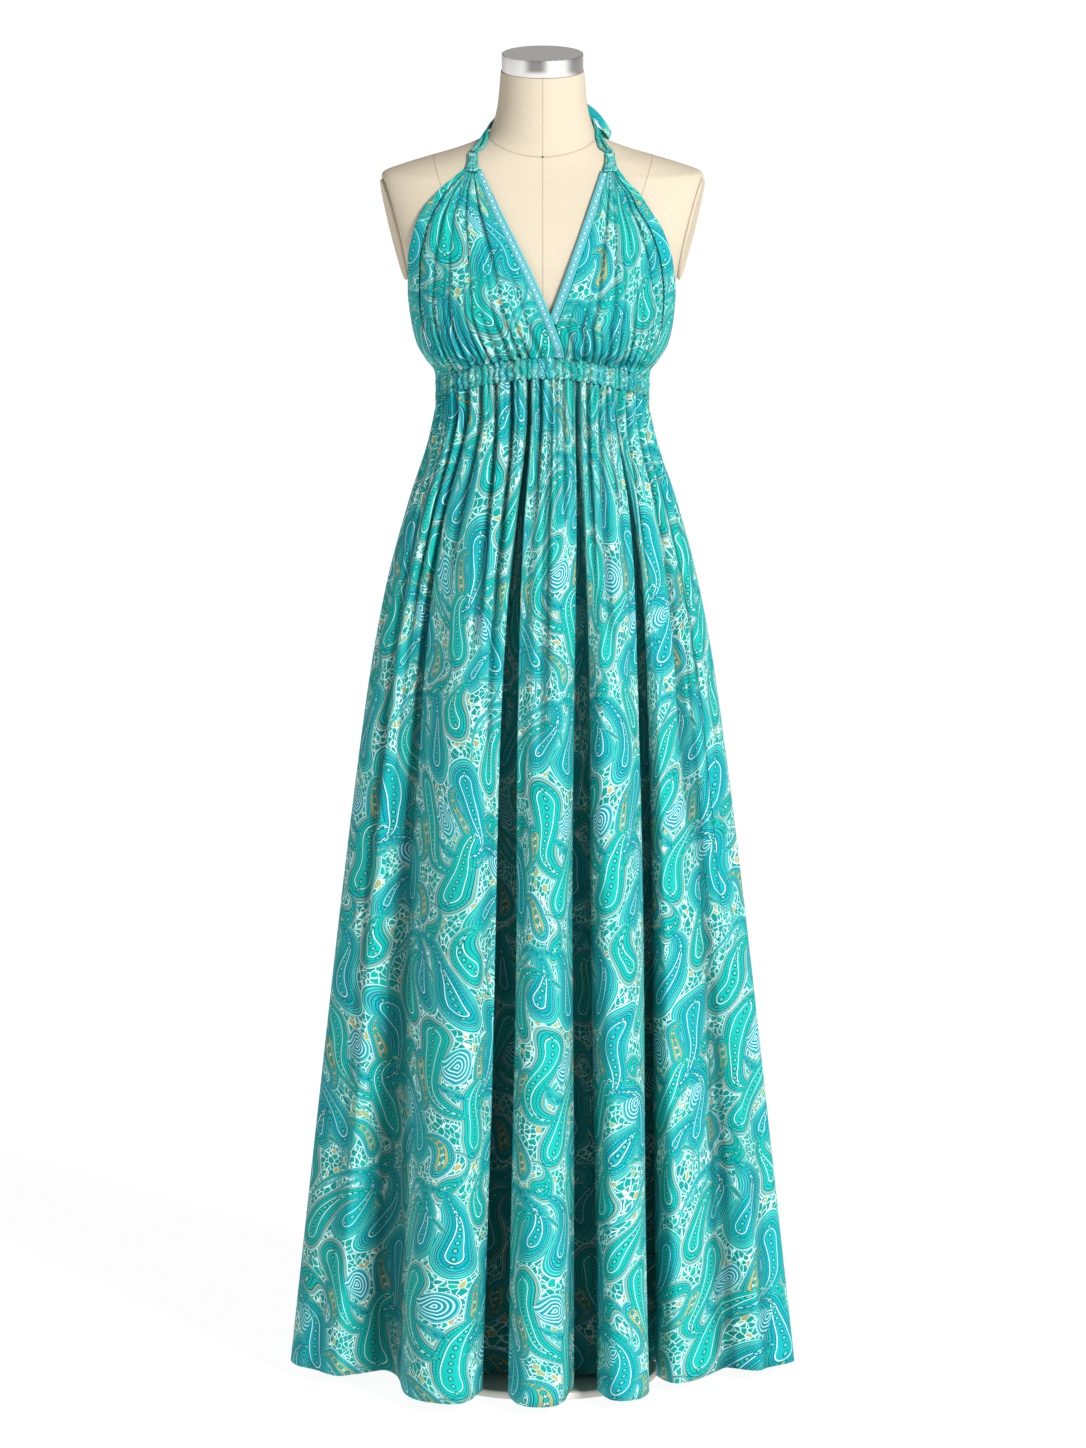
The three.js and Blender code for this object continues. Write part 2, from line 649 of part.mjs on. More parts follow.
function makeArmPlate(side) {
  const outward = sideSign[side];
  const corners = 32;
  const up = new THREE.Vector3(outward * cutSlope, 0, 1).normalize();
  const back = new THREE.Vector3(outward * cutTurn, 1, 0).normalize();
  const out = new THREE.Vector3(outward, -cutTurn, -cutSlope).normalize();
  const ring = (inset, away) => Array.from({ length: corners }, (_, i) => {
    const angle = (i * 2 * Math.PI) / corners;
    return new THREE.Vector3(outward * cutOut, 0, armPlateCentre)
      .addScaledVector(up, (armPlateHalfHeight - inset) * Math.sin(angle))
      .addScaledVector(back, (armPlateHalfDepth - inset) * Math.cos(angle))
      .addScaledVector(out, away);
  });
  const far = seamGap + armPlateThickness;
  const rings = [ring(armPlateEdge, seamGap), ring(0, seamGap + armPlateEdge), ring(0, far - armPlateEdge),
    ring(armPlateEdge, far)];
  return loft(`arm_plate_${side}`, rings, colours.linen, 0.9, 0);
}

// A turned piece: rings of the given radii and heights, in its own frame
function turned(name, profile, corners, colour, roughness, metalness, place = (p) => p) {
  const rings = profile.map(({ radius, height }) => Array.from({ length: corners }, (_, i) => {
    const angle = (i * 2 * Math.PI) / corners;
    return place(new THREE.Vector3(radius * Math.cos(angle), radius * Math.sin(angle), height));
  }));
  return loft(name, rings, colour, roughness, metalness);
}

function makeNeckCap() {
  const top = formSections[formSections.length - 1];
  const tilt = Math.tan(top.tilt * degrees);
  const place = (p) => {
    const height = top.height + seamGap + p.z + p.y * tilt;
    return new THREE.Vector3(p.x, p.y - top.lean - p.z * tilt, height);
  };
  const profile = [
    { radius: capRadius - capEdge, height: 0 },
    { radius: capRadius, height: capEdge },
    { radius: capRadius, height: capHeight - capEdge },
    { radius: capRadius - capEdge, height: capHeight },
  ];
  return turned('neck_cap', profile, 40, colours.steel, 0.35, 1, place);
}

function makeStand() {
  const formFoot = formSections[0].height;
  const base = turned('stand_base', [
    { radius: baseRadius, height: 0 },
    { radius: baseRadius, height: baseThickness - baseEdge },
    { radius: baseRadius - baseEdge, height: baseThickness },
  ], 48, colours.base, 0.4, 1);
  const pole = turned('stand_pole', [
    { radius: socketRadius, height: baseThickness + seamGap },
    { radius: socketRadius, height: baseThickness + socketHeight },
    { radius: poleRadius, height: baseThickness + socketHeight + socketTaper },
    { radius: poleRadius, height: formFoot - socketHeight - socketTaper },
    { radius: socketRadius, height: formFoot - socketHeight },
    { radius: socketRadius, height: formFoot - seamGap },
  ], 20, colours.steel, 0.35, 1);
  return [base, pole];
}

// Neck tab: the cup's cloth pinched to a bundle, flat on the form
function makeNeckTab(side) {
  const outward = sideSign[side];
  const corners = 12;
  const bottom = tabHeight + seamGap;
  const first = strapPaths[side][0];
  const topCentre = formPoint(first.angle * degrees, first.height - 2.2, strandThickness / 2 + 2.6);
  const foot = (armX(side, tabHeight) + neckX(side, tabHeight)) / 2;
  const footAngle = bodiceAngle(foot, tabHeight);
  const footCentre = bodicePoint(footAngle, tabHeight, 3.2);
  const steps = [
    { along: 0, halfWidth: 9.6, halfDepth: 2.1 },
    { along: 0.3, halfWidth: 7.6, halfDepth: 2.8 },
    { along: 0.65, halfWidth: 6.4, halfDepth: 2.8 },
    { along: 1, halfWidth: 6.2, halfDepth: 2.4 },
  ];
  const out = new THREE.Vector3(Math.sin(first.angle * degrees) * 0.8, -1, 0.35).normalize();
  const wide = new THREE.Vector3(1, outward * 0.62, 0).normalize();
  const rings = steps.map(({ along, halfWidth, halfDepth }) => {
    const centre = footCentre.clone().lerp(topCentre, along);
    centre.z = mix(bottom, first.height - 2.2, along);
    return Array.from({ length: corners }, (_, i) => {
      const angle = (i * 2 * Math.PI) / corners;
      const point = centre.clone().addScaledVector(wide, halfWidth * Math.cos(angle));
      point.addScaledVector(out, -halfDepth * Math.sin(angle));
      if (along === 0) point.z = bottom;
      return point;
    });
  });
  return loft(`neck_tab_${side}`, rings, colours.cloth, 0.85, 0);
}

// A strand of a strap, lying on the form. place is -1 for the lower strand and 1 for the upper.
// The strand is moved aside over the surface, square to the strap's way.
function makeStrand(side, place) {
  const path = strapPaths[side].map((row, i) => ({ ...row, i }));
  const last = path.length - 1;
  const step = 0.01;
  const routeAt = (share) => {
    const row = clamp(share, 0, 1) * last;
    return { angle: lookUp(path, 'i', row, 'angle') * degrees, height: lookUp(path, 'i', row, 'height') };
  };
  const onForm = ({ angle, height }) => formPoint(angle, height, 0);
  const rings = [];
  for (let stop = 0; stop <= strandSteps; stop += 1) {
    const share = stop / strandSteps;
    const here = routeAt(share);
    const along = onForm(routeAt(share + step)).sub(onForm(routeAt(share - step))).normalize();
    const turned = onForm({ ...here, angle: here.angle + step }).sub(onForm(here)).divideScalar(step);
    const raised = onForm({ ...here, height: here.height + step }).sub(onForm(here)).divideScalar(step);
    const outside = turned.clone().cross(raised).normalize();
    const across = outside.clone().cross(along).normalize().multiplyScalar(sideSign[side]);
    const aside = place * lookUp(path, 'i', share * last, 'spread');
    const [tt, tr, rr] = [turned.dot(turned), turned.dot(raised), raised.dot(raised)];
    const [at, ar] = [across.dot(turned), across.dot(raised)];
    const whole = tt * rr - tr * tr;
    const angle = here.angle + (aside * (at * rr - ar * tr)) / whole;
    const height = here.height + (aside * (ar * tt - at * tr)) / whole;
    const middle = formPoint(angle, height, 0).addScaledVector(outside, strandThickness / 2 + 1);
    rings.push(Array.from({ length: strandSides }, (_, i) => {
      const turn = (i * 2 * Math.PI) / strandSides;
      return middle.clone()
        .addScaledVector(across, (strandWidth / 2) * Math.cos(turn))
        .addScaledVector(outside, (strandThickness / 2) * Math.sin(turn));
    }));
  }
  return loft(`strap_${side}_${place < 0 ? 'lower' : 'upper'}`, rings, colours.cloth, 0.85, 0);
}

function makeKnot() {
  const corners = 12;
  const rings = [-0.85, -0.45, 0, 0.45, 0.85].map((level) => Array.from({ length: corners }, (_, i) => {
    const angle = (i * 2 * Math.PI) / corners;
    const size = Math.sqrt(1 - level * level);
    return new THREE.Vector3(
      knot.halfWidth * size * Math.cos(angle),
      knot.y + knot.halfDepth * size * Math.sin(angle),
      knot.height + knot.halfHeight * level,
    );
  }));
  return loft('tie_knot', rings, colours.cloth, 0.85, 0);
}

// A ribbon along a smooth path: facing gives the direction of its outer face at a point
function makeRibbon(name, path, facing, steps) {
  const curve = new THREE.CatmullRomCurve3(path);
  const rings = [];
  for (let step = 0; step <= steps; step += 1) {
    const share = step / steps;
    const centre = curve.getPoint(share);
    const along = curve.getTangent(share);
    const out = facing(centre, along);
    const across = along.clone().cross(out).normalize().multiplyScalar(ribbonWidth / 2);
    const thick = out.clone().multiplyScalar(ribbonThickness / 2);
    rings.push([
      centre.clone().add(across).add(thick),
      centre.clone().sub(across).add(thick),
      centre.clone().sub(across).sub(thick),
      centre.clone().add(across).sub(thick),
    ]);
  }
  return loft(name, rings, colours.cloth, 0.85, 0);
}

function makeTie() {
  const upright = (centre, along) => {
    const across = new THREE.Vector3(0.25, 0.75, 0.6).normalize();
    return across.sub(along.clone().multiplyScalar(across.dot(along))).normalize().cross(along).normalize();
  };
  const loops = Object.entries(bowPaths).map(([name, rows]) => makeRibbon(
    name, rows.map(({ x, y, z }) => new THREE.Vector3(x, y, z)), upright, 18));
  const onBack = (x, height, out) => {
    const row = formRow(height);
    const flat = row.back * Math.sqrt(1 - (x / row.halfWidth) ** 2);
    return new THREE.Vector3(x, flat - row.lean + out, height);
  };
  const outward = (centre, along) => {
    const out = new THREE.Vector3(0, 1, 0);
    return out.sub(along.clone().multiplyScalar(out.dot(along))).normalize();
  };
  const tails = Object.entries(tailPaths).map(([name, rows]) => makeRibbon(
    name, rows.map(({ x, height, out }) => onBack(x, height, out)), outward, 10));
  return [makeKnot(), ...loops, ...tails];
}

const dress = new THREE.Group();
dress.add(
  clothWall('skirt_front', makeSkirtHalf(frontFolds, frontGathers, hemFront, waistFront, frontAngle),
    frontGathers * samplesPerGather, 9, colours.cloth),
  clothWall('skirt_back', makeSkirtHalf(backFolds, backGathers, hemBack, waistBack, backAngle),
    backGathers * samplesPerGather, 8, colours.cloth),
  clothWall('waist_band_front', makeBandHalf(frontGathers, waistFront, frontAngle),
    frontGathers * samplesPerGather, 2, colours.cloth),
  clothWall('waist_band_back', makeBandHalf(backGathers, waistBack, backAngle),
    backGathers * samplesPerGather, 2, colours.cloth),
);
for (const side of ['left', 'right']) {
  dress.add(makeCup(side), makeArmholeBand(side), makeNeckTrim(side), makeNeckTab(side));
  dress.add(makeStrand(side, -1), makeStrand(side, 1), makeArmPlate(side));
}
dress.add(...makeTie(), makeFormTorso(), makeNeckCap(), ...makeStand());
export default dress;
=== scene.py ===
import math

import bmesh
import bpy
import numpy as np
from bpy.props import FloatProperty, FloatVectorProperty, IntProperty, PointerProperty
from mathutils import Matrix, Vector


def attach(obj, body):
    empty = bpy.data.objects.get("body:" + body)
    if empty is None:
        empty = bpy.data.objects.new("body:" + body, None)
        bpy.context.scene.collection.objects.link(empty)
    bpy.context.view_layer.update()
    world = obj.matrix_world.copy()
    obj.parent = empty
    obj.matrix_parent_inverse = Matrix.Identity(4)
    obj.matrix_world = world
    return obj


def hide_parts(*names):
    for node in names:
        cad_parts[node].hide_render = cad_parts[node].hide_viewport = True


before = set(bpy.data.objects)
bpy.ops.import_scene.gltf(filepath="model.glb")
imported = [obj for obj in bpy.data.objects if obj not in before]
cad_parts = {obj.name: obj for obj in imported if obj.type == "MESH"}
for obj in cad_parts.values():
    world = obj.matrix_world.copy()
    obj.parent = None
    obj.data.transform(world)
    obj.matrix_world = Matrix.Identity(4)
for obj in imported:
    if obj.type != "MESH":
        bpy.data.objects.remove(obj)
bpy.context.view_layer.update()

bl_info = {
    "name": "Halter Maxi Dress on a Dress Form",
    "version": (1, 0, 0),
    "blender": (4, 5, 0),
    "location": "View3D > Sidebar > Dress",
    "description": "Builds a gathered halter dress, the form that it stands on and a pale studio",
    "category": "Add Mesh",
}

MM = 0.001
DEGREE = math.pi / 180
ROOT = "root"


# Tables


class Table:
    """Rows with named columns. at() reads a column smoothly between rows, without overshoot."""

    def __init__(self, columns, *rows):
        self.columns = {name: np.array([row[i] for row in rows], float) for i, name in enumerate(columns)}

    def __getitem__(self, name):
        return self.columns[name]

    def rows(self):
        return np.array(list(self.columns.values())).T.tolist()

    def section(self, key, where):
        """All columns but the key's, read at one place."""
        return [self.at(key, where, name) for name in self.columns if name != key]

    def at(self, key, where, name):
        """Cubic through the rows. A row's slope is the harmonic mean of its neighbours' slopes."""
        x, y = self.columns[key], self.columns[name]
        if x[0] > x[-1]:
            x, y = x[::-1], y[::-1]
        where = np.clip(np.asarray(where, float), x[0], x[-1])
        steep = np.diff(y) / np.diff(x)
        slope = np.empty_like(y)
        slope[0], slope[-1] = steep[0], steep[-1]
        product = steep[:-1] * steep[1:]
        total = steep[:-1] + steep[1:]
        slope[1:-1] = np.where(product > 0, 2 * product / np.where(total == 0, 1, total), 0)
        i = np.clip(np.searchsorted(x, where, side="right") - 1, 0, len(x) - 2)
        span = x[i + 1] - x[i]
        return hermite(y[i], slope[i] * span, y[i + 1], slope[i + 1] * span, (where - x[i]) / span)


def hermite(start, start_tangent, end, end_tangent, s):
    """Cubic from start to end with the given tangents, for s from 0 to 1."""
    s2, s3 = s * s, s * s * s
    return (
        (2 * s3 - 3 * s2 + 1) * start
        + (s3 - 2 * s2 + s) * start_tangent
        + (3 * s2 - 2 * s3) * end
        + (s3 - s2) * end_tangent
    )


def smooth(x):
    """0 below 0 and 1 above 1, with a smooth rise between."""
    x = np.clip(x, 0, 1)
    return x * x * (3 - 2 * x)


def bump(x, middle, width):
    """A bell of height 1 round the middle."""
    return np.exp(-(((x - middle) / width) ** 2))


def unit(vector):
    """Vectors of the same way, 1 long."""
    return vector / np.linalg.norm(vector, axis=-1, keepdims=True)


def full_turn(corners):
    """Angles of the corners of a ring."""
    return np.linspace(0, 2 * math.pi, corners + 1)[:-1]


# Half width of the skirt by height, in millimetres
SKIRT_SIDES = Table(
    ("height", "half_width"),
    (15, 296),
    (280, 267),
    (567, 235),
    (757, 211.5),
    (852, 198),
    (947, 180),
    (1041, 154.5),
    (1111, 131),
    (1150, 122),
)

# Folds of the skirt: where each starts at the waist, its place at the hem and how round it is
FRONT_FOLDS = Table(
    ("waist_x", "x", "y", "roundness"),
    (-122, -296, 0, 0.9),
    (-108, -243, -75, 1.0),
    (-86, -182, -52, 0.9),
    (-52, -110, -212, 1.3),
    (-15, -58, -142, 0.9),
    (13, -4, -226, 1.3),
    (40, 50, -129, 0.9),
    (63, 95, -198, 1.2),
    (84, 121, -58, 0.4),
    (100, 162, -110, 1.0),
    (111, 213, -38, 0.7),
    (118, 258, -48, 1.0),
    (122, 296, 0, 0.8),
)
BACK_FOLDS = Table(
    ("waist_x", "x", "y", "roundness"),
    (122, 296, 0, 0.8),
    (112, 252, 66, 1.0),
    (100, 205, 62, 0.8),
    (82, 160, 160, 1.2),
    (60, 112, 118, 0.8),
    (36, 66, 204, 1.3),
    (12, 22, 140, 0.8),
    (-14, -30, 210, 1.3),
    (-40, -78, 134, 0.8),
    (-64, -124, 186, 1.2),
    (-86, -168, 92, 0.8),
    (-106, -226, 112, 1.0),
    (-122, -296, 0, 0.9),
)

# Narrow troughs of the skirt, which the light hardly reaches: place at the waist, depth at the
# waist and the hem, half width as a share of the half skirt, and the share of the height where
# the trough fades out
FRONT_TROUGHS = Table(
    ("waist_x", "depth", "hem_depth", "width", "fade"),
    (-113, 3, 10, 0.018, 0.8),
    (-100, 4, 22, 0.011, 0.3),
    (-88, 5, 26, 0.012, 0.55),
    (-72, 4, 22, 0.010, 0.2),
    (-55, 5, 26, 0.011, 0.3),
    (-37, 5, 30, 0.012, 0.42),
    (-15, 12, 80, 0.0125, 9),
    (-1, 4, 18, 0.009, 0.16),
    (11, 5, 30, 0.012, 0.46),
    (25, 4, 18, 0.009, 0.18),
    (40, 11, 62, 0.0095, 9),
    (54, 4, 20, 0.010, 0.2),
    (67, 4, 22, 0.011, 0.34),
    (84, 11, 58, 0.0105, 9),
    (96, 4, 22, 0.010, 0.24),
    (108, 5, 26, 0.012, 0.5),
    (117, 3, 10, 0.016, 0.8),
)
BACK_TROUGHS = Table(
    ("waist_x", "depth", "hem_depth", "width", "fade"),
    (114, 3, 12, 0.017, 0.8),
    (98, 4, 24, 0.012, 0.45),
    (80, 4, 20, 0.010, 0.25),
    (60, 6, 50, 0.018, 9),
    (38, 4, 24, 0.011, 0.36),
    (12, 6, 54, 0.016, 9),
    (-2, 4, 18, 0.010, 0.2),
    (-18, 4, 24, 0.012, 0.42),
    (-40, 6, 52, 0.019, 9),
    (-64, 4, 24, 0.011, 0.3),
    (-86, 5, 40, 0.014, 9),
    (-104, 4, 20, 0.011, 0.4),
    (-116, 3, 12, 0.016, 0.8),
)

# Bodice sections, the cloth's edges at the armholes and the edges of the V neck, by height
BODICE = Table(
    ("height", "half_width", "front", "square"),
    (1150, 122, 100, 2.0),
    (1190, 124, 101, 2.0),
    (1206, 134, 108, 2.1),
    (1228, 147, 109, 2.2),
    (1252, 153, 112, 2.3),
    (1290, 158, 116, 2.4),
    (1340, 176, 112, 2.4),
    (1370, 186, 103, 2.35),
    (1400, 192, 90, 2.3),
    (1423, 190, 77.5, 2.2),
    (1437, 158, 70, 2.1),
    (1452, 114, 66, 2.0),
)
ARM_EDGES = Table(
    ("height", "left", "right"),
    (1150, 121, 122),
    (1190, 124, 124),
    (1206, 133.3, 133.3),
    (1228, 144.8, 144.6),
    (1252, 150.5, 150),
    (1290, 155, 153),
    (1329, 155, 150),
    (1367, 148, 139),
    (1390, 139, 125),
    (1412, 121, 110),
    (1423, 108, 98),
    (1437, 90, 87),
)
NECK_EDGES = Table(
    ("height", "left", "right"),
    (1150, 25, -37),
    (1222, 25, -10.7),
    (1273, 10, 8),
    (1437, -70, 68),
)

# Dress form: oval sections, how far a section leans forward and its tilt in degrees
FORM = Table(
    ("height", "half_width", "front", "back", "square", "lean", "tilt"),
    (846, 140, 90, 96, 2.1, 0, 0),
    (868, 146, 93, 101, 2.1, 0, 0),
    (930, 142, 92, 98, 2.1, 0, 0),
    (1000, 122, 84, 86, 2.1, 0, 0),
    (1066, 108, 80, 78, 2.0, 0, 0),
    (1130, 109, 82, 80, 2.0, 0, 0),
    (1190, 116, 90, 88, 2.0, 0, 0),
    (1228, 131, 93, 94, 2.2, 0, 0),
    (1252, 142, 101, 98, 2.3, 0, 0),
    (1290, 150, 112, 102, 2.4, 0, 0),
    (1312, 160, 110.5, 102, 2.4, 0, 0),
    (1340, 171, 107, 101, 2.4, 0, 0),
    (1370, 181, 98, 97, 2.35, 0, 0),
    (1400, 187, 84, 88, 2.3, 0, 0),
    (1414, 188, 77, 83, 2.2, 0, 0),
    (1424, 184, 71, 79, 2.2, 0, 0),
    (1432, 165, 67, 75, 2.1, 0, 0),
    (1441, 136, 62.5, 71, 2.1, 0, 0),
    (1450, 105, 60, 68, 2.0, 0, 0),
    (1459, 80, 58, 66, 2.0, 0, 0.2),
    (1468, 64, 57, 62, 2.0, 0, 0.6),
    (1484, 56, 54, 56, 2.0, 1, 1.4),
    (1505, 51.5, 51, 51, 2.0, 3, 2.4),
    (1543, 48, 48, 48, 2.0, 6, 3.5),
)

# Straps: angle round the neck from the centre front in degrees, height, and half the strands' spacing
STRAPS = {
    "left": Table(
        ("row", "angle", "height", "spread"),
        (0, -52, 1451.5, 2.8),
        (1, -58, 1457.5, 4.6),
        (2, -68, 1462.5, 3.6),
        (3, -88, 1469, 2.8),
        (4, -108, 1476, 2.8),
        (5, -130, 1485, 2.8),
        (6, -152, 1492, 2.8),
        (7, -172.5, 1496, 2.8),
    ),
    "right": Table(
        ("row", "angle", "height", "spread"),
        (0, 50, 1451.5, 2.8),
        (1, 56, 1457.5, 4.6),
        (2, 66, 1462.5, 3.6),
        (3, 85, 1471, 2.8),
        (4, 104, 1481, 2.8),
        (5, 126, 1489, 2.8),
        (6, 150, 1494, 2.8),
        (7, 172.5, 1496, 2.8),
    ),
}
BOW_LOOPS = {
    "bow_loop_right": (
        (6.9, 60, 1499),
        (33, 60, 1500),
        (59, 44, 1487),
        (77, 31, 1464),
        (70, 43, 1462),
        (40, 60, 1480),
        (8.2, 61.5, 1495),
    ),
    "bow_loop_left": (
        (-6.9, 60, 1499),
        (-28, 65, 1500),
        (-47, 62, 1484),
        (-48, 66, 1467),
        (-32, 71, 1468),
        (-8.0, 61.5, 1495),
    ),
}
TIE_TAILS = {
    "tie_tail_left": Table(
        ("x", "height", "out"),
        (-6, 1486.8, 5),
        (-10, 1468, 4),
        (-14, 1441, 2),
        (-19, 1412, 2),
        (-24, 1380, 2),
        (-26, 1346, 2),
    ),
    "tie_tail_right": Table(
        ("x", "height", "out"),
        (6, 1486.8, 5),
        (10, 1468, 4),
        (14, 1441, 2),
        (17, 1414, 2),
        (20, 1388, 2),
        (22, 1362, 2),
    ),
}
SIDE_SIGN = {"left": -1, "right": 1}


# Sizes and colours that a user would change


def millimetres(name, description, default):
    """A size in millimetres that a user can change."""
    return FloatProperty(name=name, description=description, default=default)


class DressSizes(bpy.types.PropertyGroup):
    """Sizes of the dress in millimetres, as the solids in the frame have them"""

    cloth: millimetres("Cloth", "Thickness of the cloth's shell", 0.9)
    seam_gap: millimetres("Seam gap", "Space between pieces at a seam", 0.3)
    hem_height: millimetres("Hem height", "Hem above the floor", 15)
    waist_height: millimetres("Waist height", "Middle of the band at the sides", 1178)
    waist_rise: millimetres("Waist rise", "Rise of the band to the centre front", 34)
    waist_half_width: millimetres("Waist half width", "Half width at the band", 122)
    waist_front: millimetres("Waist front", "Depth of the band in front", 100)
    waist_back: millimetres("Waist back", "Depth of the band behind", 96)
    band_height: millimetres("Band height", "Height of the elastic band", 24)
    front_gathers: IntProperty(name="Front gathers", description="Gathers across the front", default=20)
    back_gathers: IntProperty(name="Back gathers", description="Gathers across the back", default=16)
    gather_depth: millimetres("Gather depth", "Half depth of a fine gather", 3.0)
    hem_half_width: millimetres("Hem half width", "Half width at the hem", 296)
    hem_front: millimetres("Hem front", "Mean depth of the hem in front", 190)
    hem_back: millimetres("Hem back", "Mean depth of the hem behind", 188)
    tab_height: millimetres("Tab height", "Height where a cup meets its tab", 1437)
    vee_height: millimetres("V height", "Foot of the V neck", 1273)
    trim_width: millimetres("Trim width", "Width of the border print", 11)
    arm_band_width: millimetres("Armhole band", "Width of the armhole band", 13)


def ink(name, description, default):
    """A colour that a user can change, in linear light."""
    return FloatVectorProperty(name=name, description=description, subtype="COLOR", size=3, default=default)


class PrintColours(bpy.types.PropertyGroup):
    """Colours of the cloth's print, in linear light"""

    ground: ink("Ground", "Pale ground", (0.70, 0.96, 0.93))
    leaf: ink("Leaf", "Small leaves", (0.001, 0.30, 0.28))
    teal: ink("Teal", "Fill of the greener figures", (0.001, 0.42, 0.35))
    blue: ink("Blue", "Fill of the bluer figures", (0.001, 0.29, 0.37))
    aqua: ink("Aqua", "Light bands", (0.012, 0.53, 0.51))
    line: ink("Line", "Dark outlines", (0.0, 0.08, 0.12))
    # Painted shade: the colour that the print is drawn to deep in a furrow, where little light gets in
    shade: ink("Shade", "Colour deep in a furrow", (0.0, 0.03, 0.035))
    tan: ink("Tan", "Tan accents", (0.42, 0.40, 0.15))


class StudioSizes(bpy.types.PropertyGroup):
    """Camera and light"""

    distance: FloatProperty(name="Distance", description="Camera to the axis", default=14.0, unit="LENGTH")
    elevation: FloatProperty(
        name="Elevation", description="Camera above level", default=11 * DEGREE, subtype="ANGLE"
    )
    aim_height: FloatProperty(name="Aim", description="Height looked at", default=0.7763, unit="LENGTH")
    aim_side: FloatProperty(name="Aim aside", description="Place looked at", default=0.0006, unit="LENGTH")
    focal_pixels: FloatProperty(name="Focal length", description="Focal length in image pixels", default=12038)


def sizes():
    return bpy.context.scene.dress_sizes


def colours():
    return bpy.context.scene.print_colours


def studio():
    return bpy.context.scene.dress_studio


# Shader maths


def arithmetic(operation, swapped=False):
    """A method that works out one operation on a value and another."""
    if swapped:
        return lambda value, other: value.math(operation, other, value)
    return lambda value, other: value.math(operation, value, other)


class Value:
    """A socket that a node gives, with arithmetic on numbers. % gives the remainder from 0 up, of
    negative numbers too."""

    def __init__(self, nodes, socket):
        self.nodes = nodes
        self.socket = socket

    def math(self, operation, *values, clamp=False):
        return self.nodes.add("ShaderNodeMath", {"operation": operation, "use_clamp": clamp}, values)

    __add__ = __radd__ = arithmetic("ADD")
    __sub__ = arithmetic("SUBTRACT")
    __rsub__ = arithmetic("SUBTRACT", swapped=True)
    __mul__ = __rmul__ = arithmetic("MULTIPLY")
    __pow__ = arithmetic("POWER")
    __lt__ = arithmetic("LESS_THAN")
    __mod__ = arithmetic("FLOORED_MODULO")
    least = arithmetic("MINIMUM")
    most = arithmetic("MAXIMUM")

    def __neg__(self):
        return self * -1.0

    def __abs__(self):
        return self.math("ABSOLUTE", self)

    def sine(self):
        return self.math("SINE", self)

    def clamped(self):
        return self.math("ADD", self, 0.0, clamp=True)

    def parts(self):
        """The three components of a vector."""
        node = self.nodes.tree.nodes.new("ShaderNodeSeparateXYZ")
        self.nodes.tree.links.new(self.socket, node.inputs[0])
        return [Value(self.nodes, output) for output in node.outputs]


class Nodes:
    """The nodes of one material."""

    def __init__(self, name):
        self.material = bpy.data.materials.new(name)
        self.material.use_nodes = True
        self.tree = self.material.node_tree
        self.tree.nodes.clear()

    def add(self, kind, settings=None, values=(), output=0):
        """Adds a node, sets its settings and then the values or links of its sockets."""
        node = self.tree.nodes.new(kind)
        for key, value in (settings or {}).items():
            setattr(node, key, value)
        entries = values.items() if isinstance(values, dict) else enumerate(values)
        for key, value in entries:
            if isinstance(value, Value):
                self.tree.links.new(value.socket, node.inputs[key])
            elif value is not None:
                node.inputs[key].default_value = value
        return Value(self, node.outputs[output]) if len(node.outputs) else None

    def uv(self, name="cloth"):
        """The piece's own map, in millimetres across and up the cloth."""
        metres = self.add("ShaderNodeUVMap", {"uv_map": name})
        return self.scale(metres, 1000)

    def place(self):
        """Object coordinates, in metres."""
        return self.add("ShaderNodeTexCoord", {}, output="Object")

    def vector(self, operation, *values):
        output = 1 if operation in ("LENGTH", "DOT_PRODUCT", "DISTANCE") else 0
        return self.add("ShaderNodeVectorMath", {"operation": operation}, values, output=output)

    def scale(self, vector, factor):
        return self.add("ShaderNodeVectorMath", {"operation": "SCALE"}, {"Vector": vector, "Scale": factor})

    def stretch(self, vector, x, y, z=1.0):
        return self.vector("MULTIPLY", vector, (x, y, z))

    def mix(self, factor, a, b):
        """Colours a to b."""
        first, second = (c if isinstance(c, Value) else (*c, 1) for c in (a, b))
        return self.add("ShaderNodeMix", {"data_type": "RGBA"}, {0: factor, 6: first, 7: second}, output=2)

    def mix_vectors(self, factor, a, b):
        return self.add("ShaderNodeMix", {"data_type": "VECTOR"}, {0: factor, 4: a, 5: b}, output=1)

    def noise(self, vector, scale, detail=2.0, roughness=0.5):
        values = {"Vector": vector, "Scale": scale, "Detail": detail, "Roughness": roughness}
        return self.add("ShaderNodeTexNoise", {}, values)

    def noise_colour(self, vector, scale, detail=1.0):
        values = {"Vector": vector, "Scale": scale, "Detail": detail}
        return self.add("ShaderNodeTexNoise", {}, values, output=1)

    def step(self, value, low, high):
        """0 below low and 1 above high, smooth between. low may be the greater."""
        settings = {"interpolation_type": "SMOOTHSTEP"}
        return self.add("ShaderNodeMapRange", settings, {0: value, 1: low, 2: high, 3: 0.0, 4: 1.0})

    def band(self, value, low, high, soft):
        """1 between low and high, with soft edges."""
        return self.step(value, low - soft, low + soft) * self.step(value, high + soft, high - soft)

    def finish(self, colour, roughness, height=None, depth=0.0, **constants):
        """Principled surface with a bump that is depth metres high."""
        values = {"Base Color": colour, "Roughness": roughness}
        if height is not None:
            bump = {"Strength": 1.0, "Distance": depth, "Height": height}
            values["Normal"] = self.add("ShaderNodeBump", {}, bump)
        values.update(constants)
        surface = self.add("ShaderNodeBsdfPrincipled", {}, values)
        self.add("ShaderNodeOutputMaterial", {}, {"Surface": surface})
        return self.material


# Print


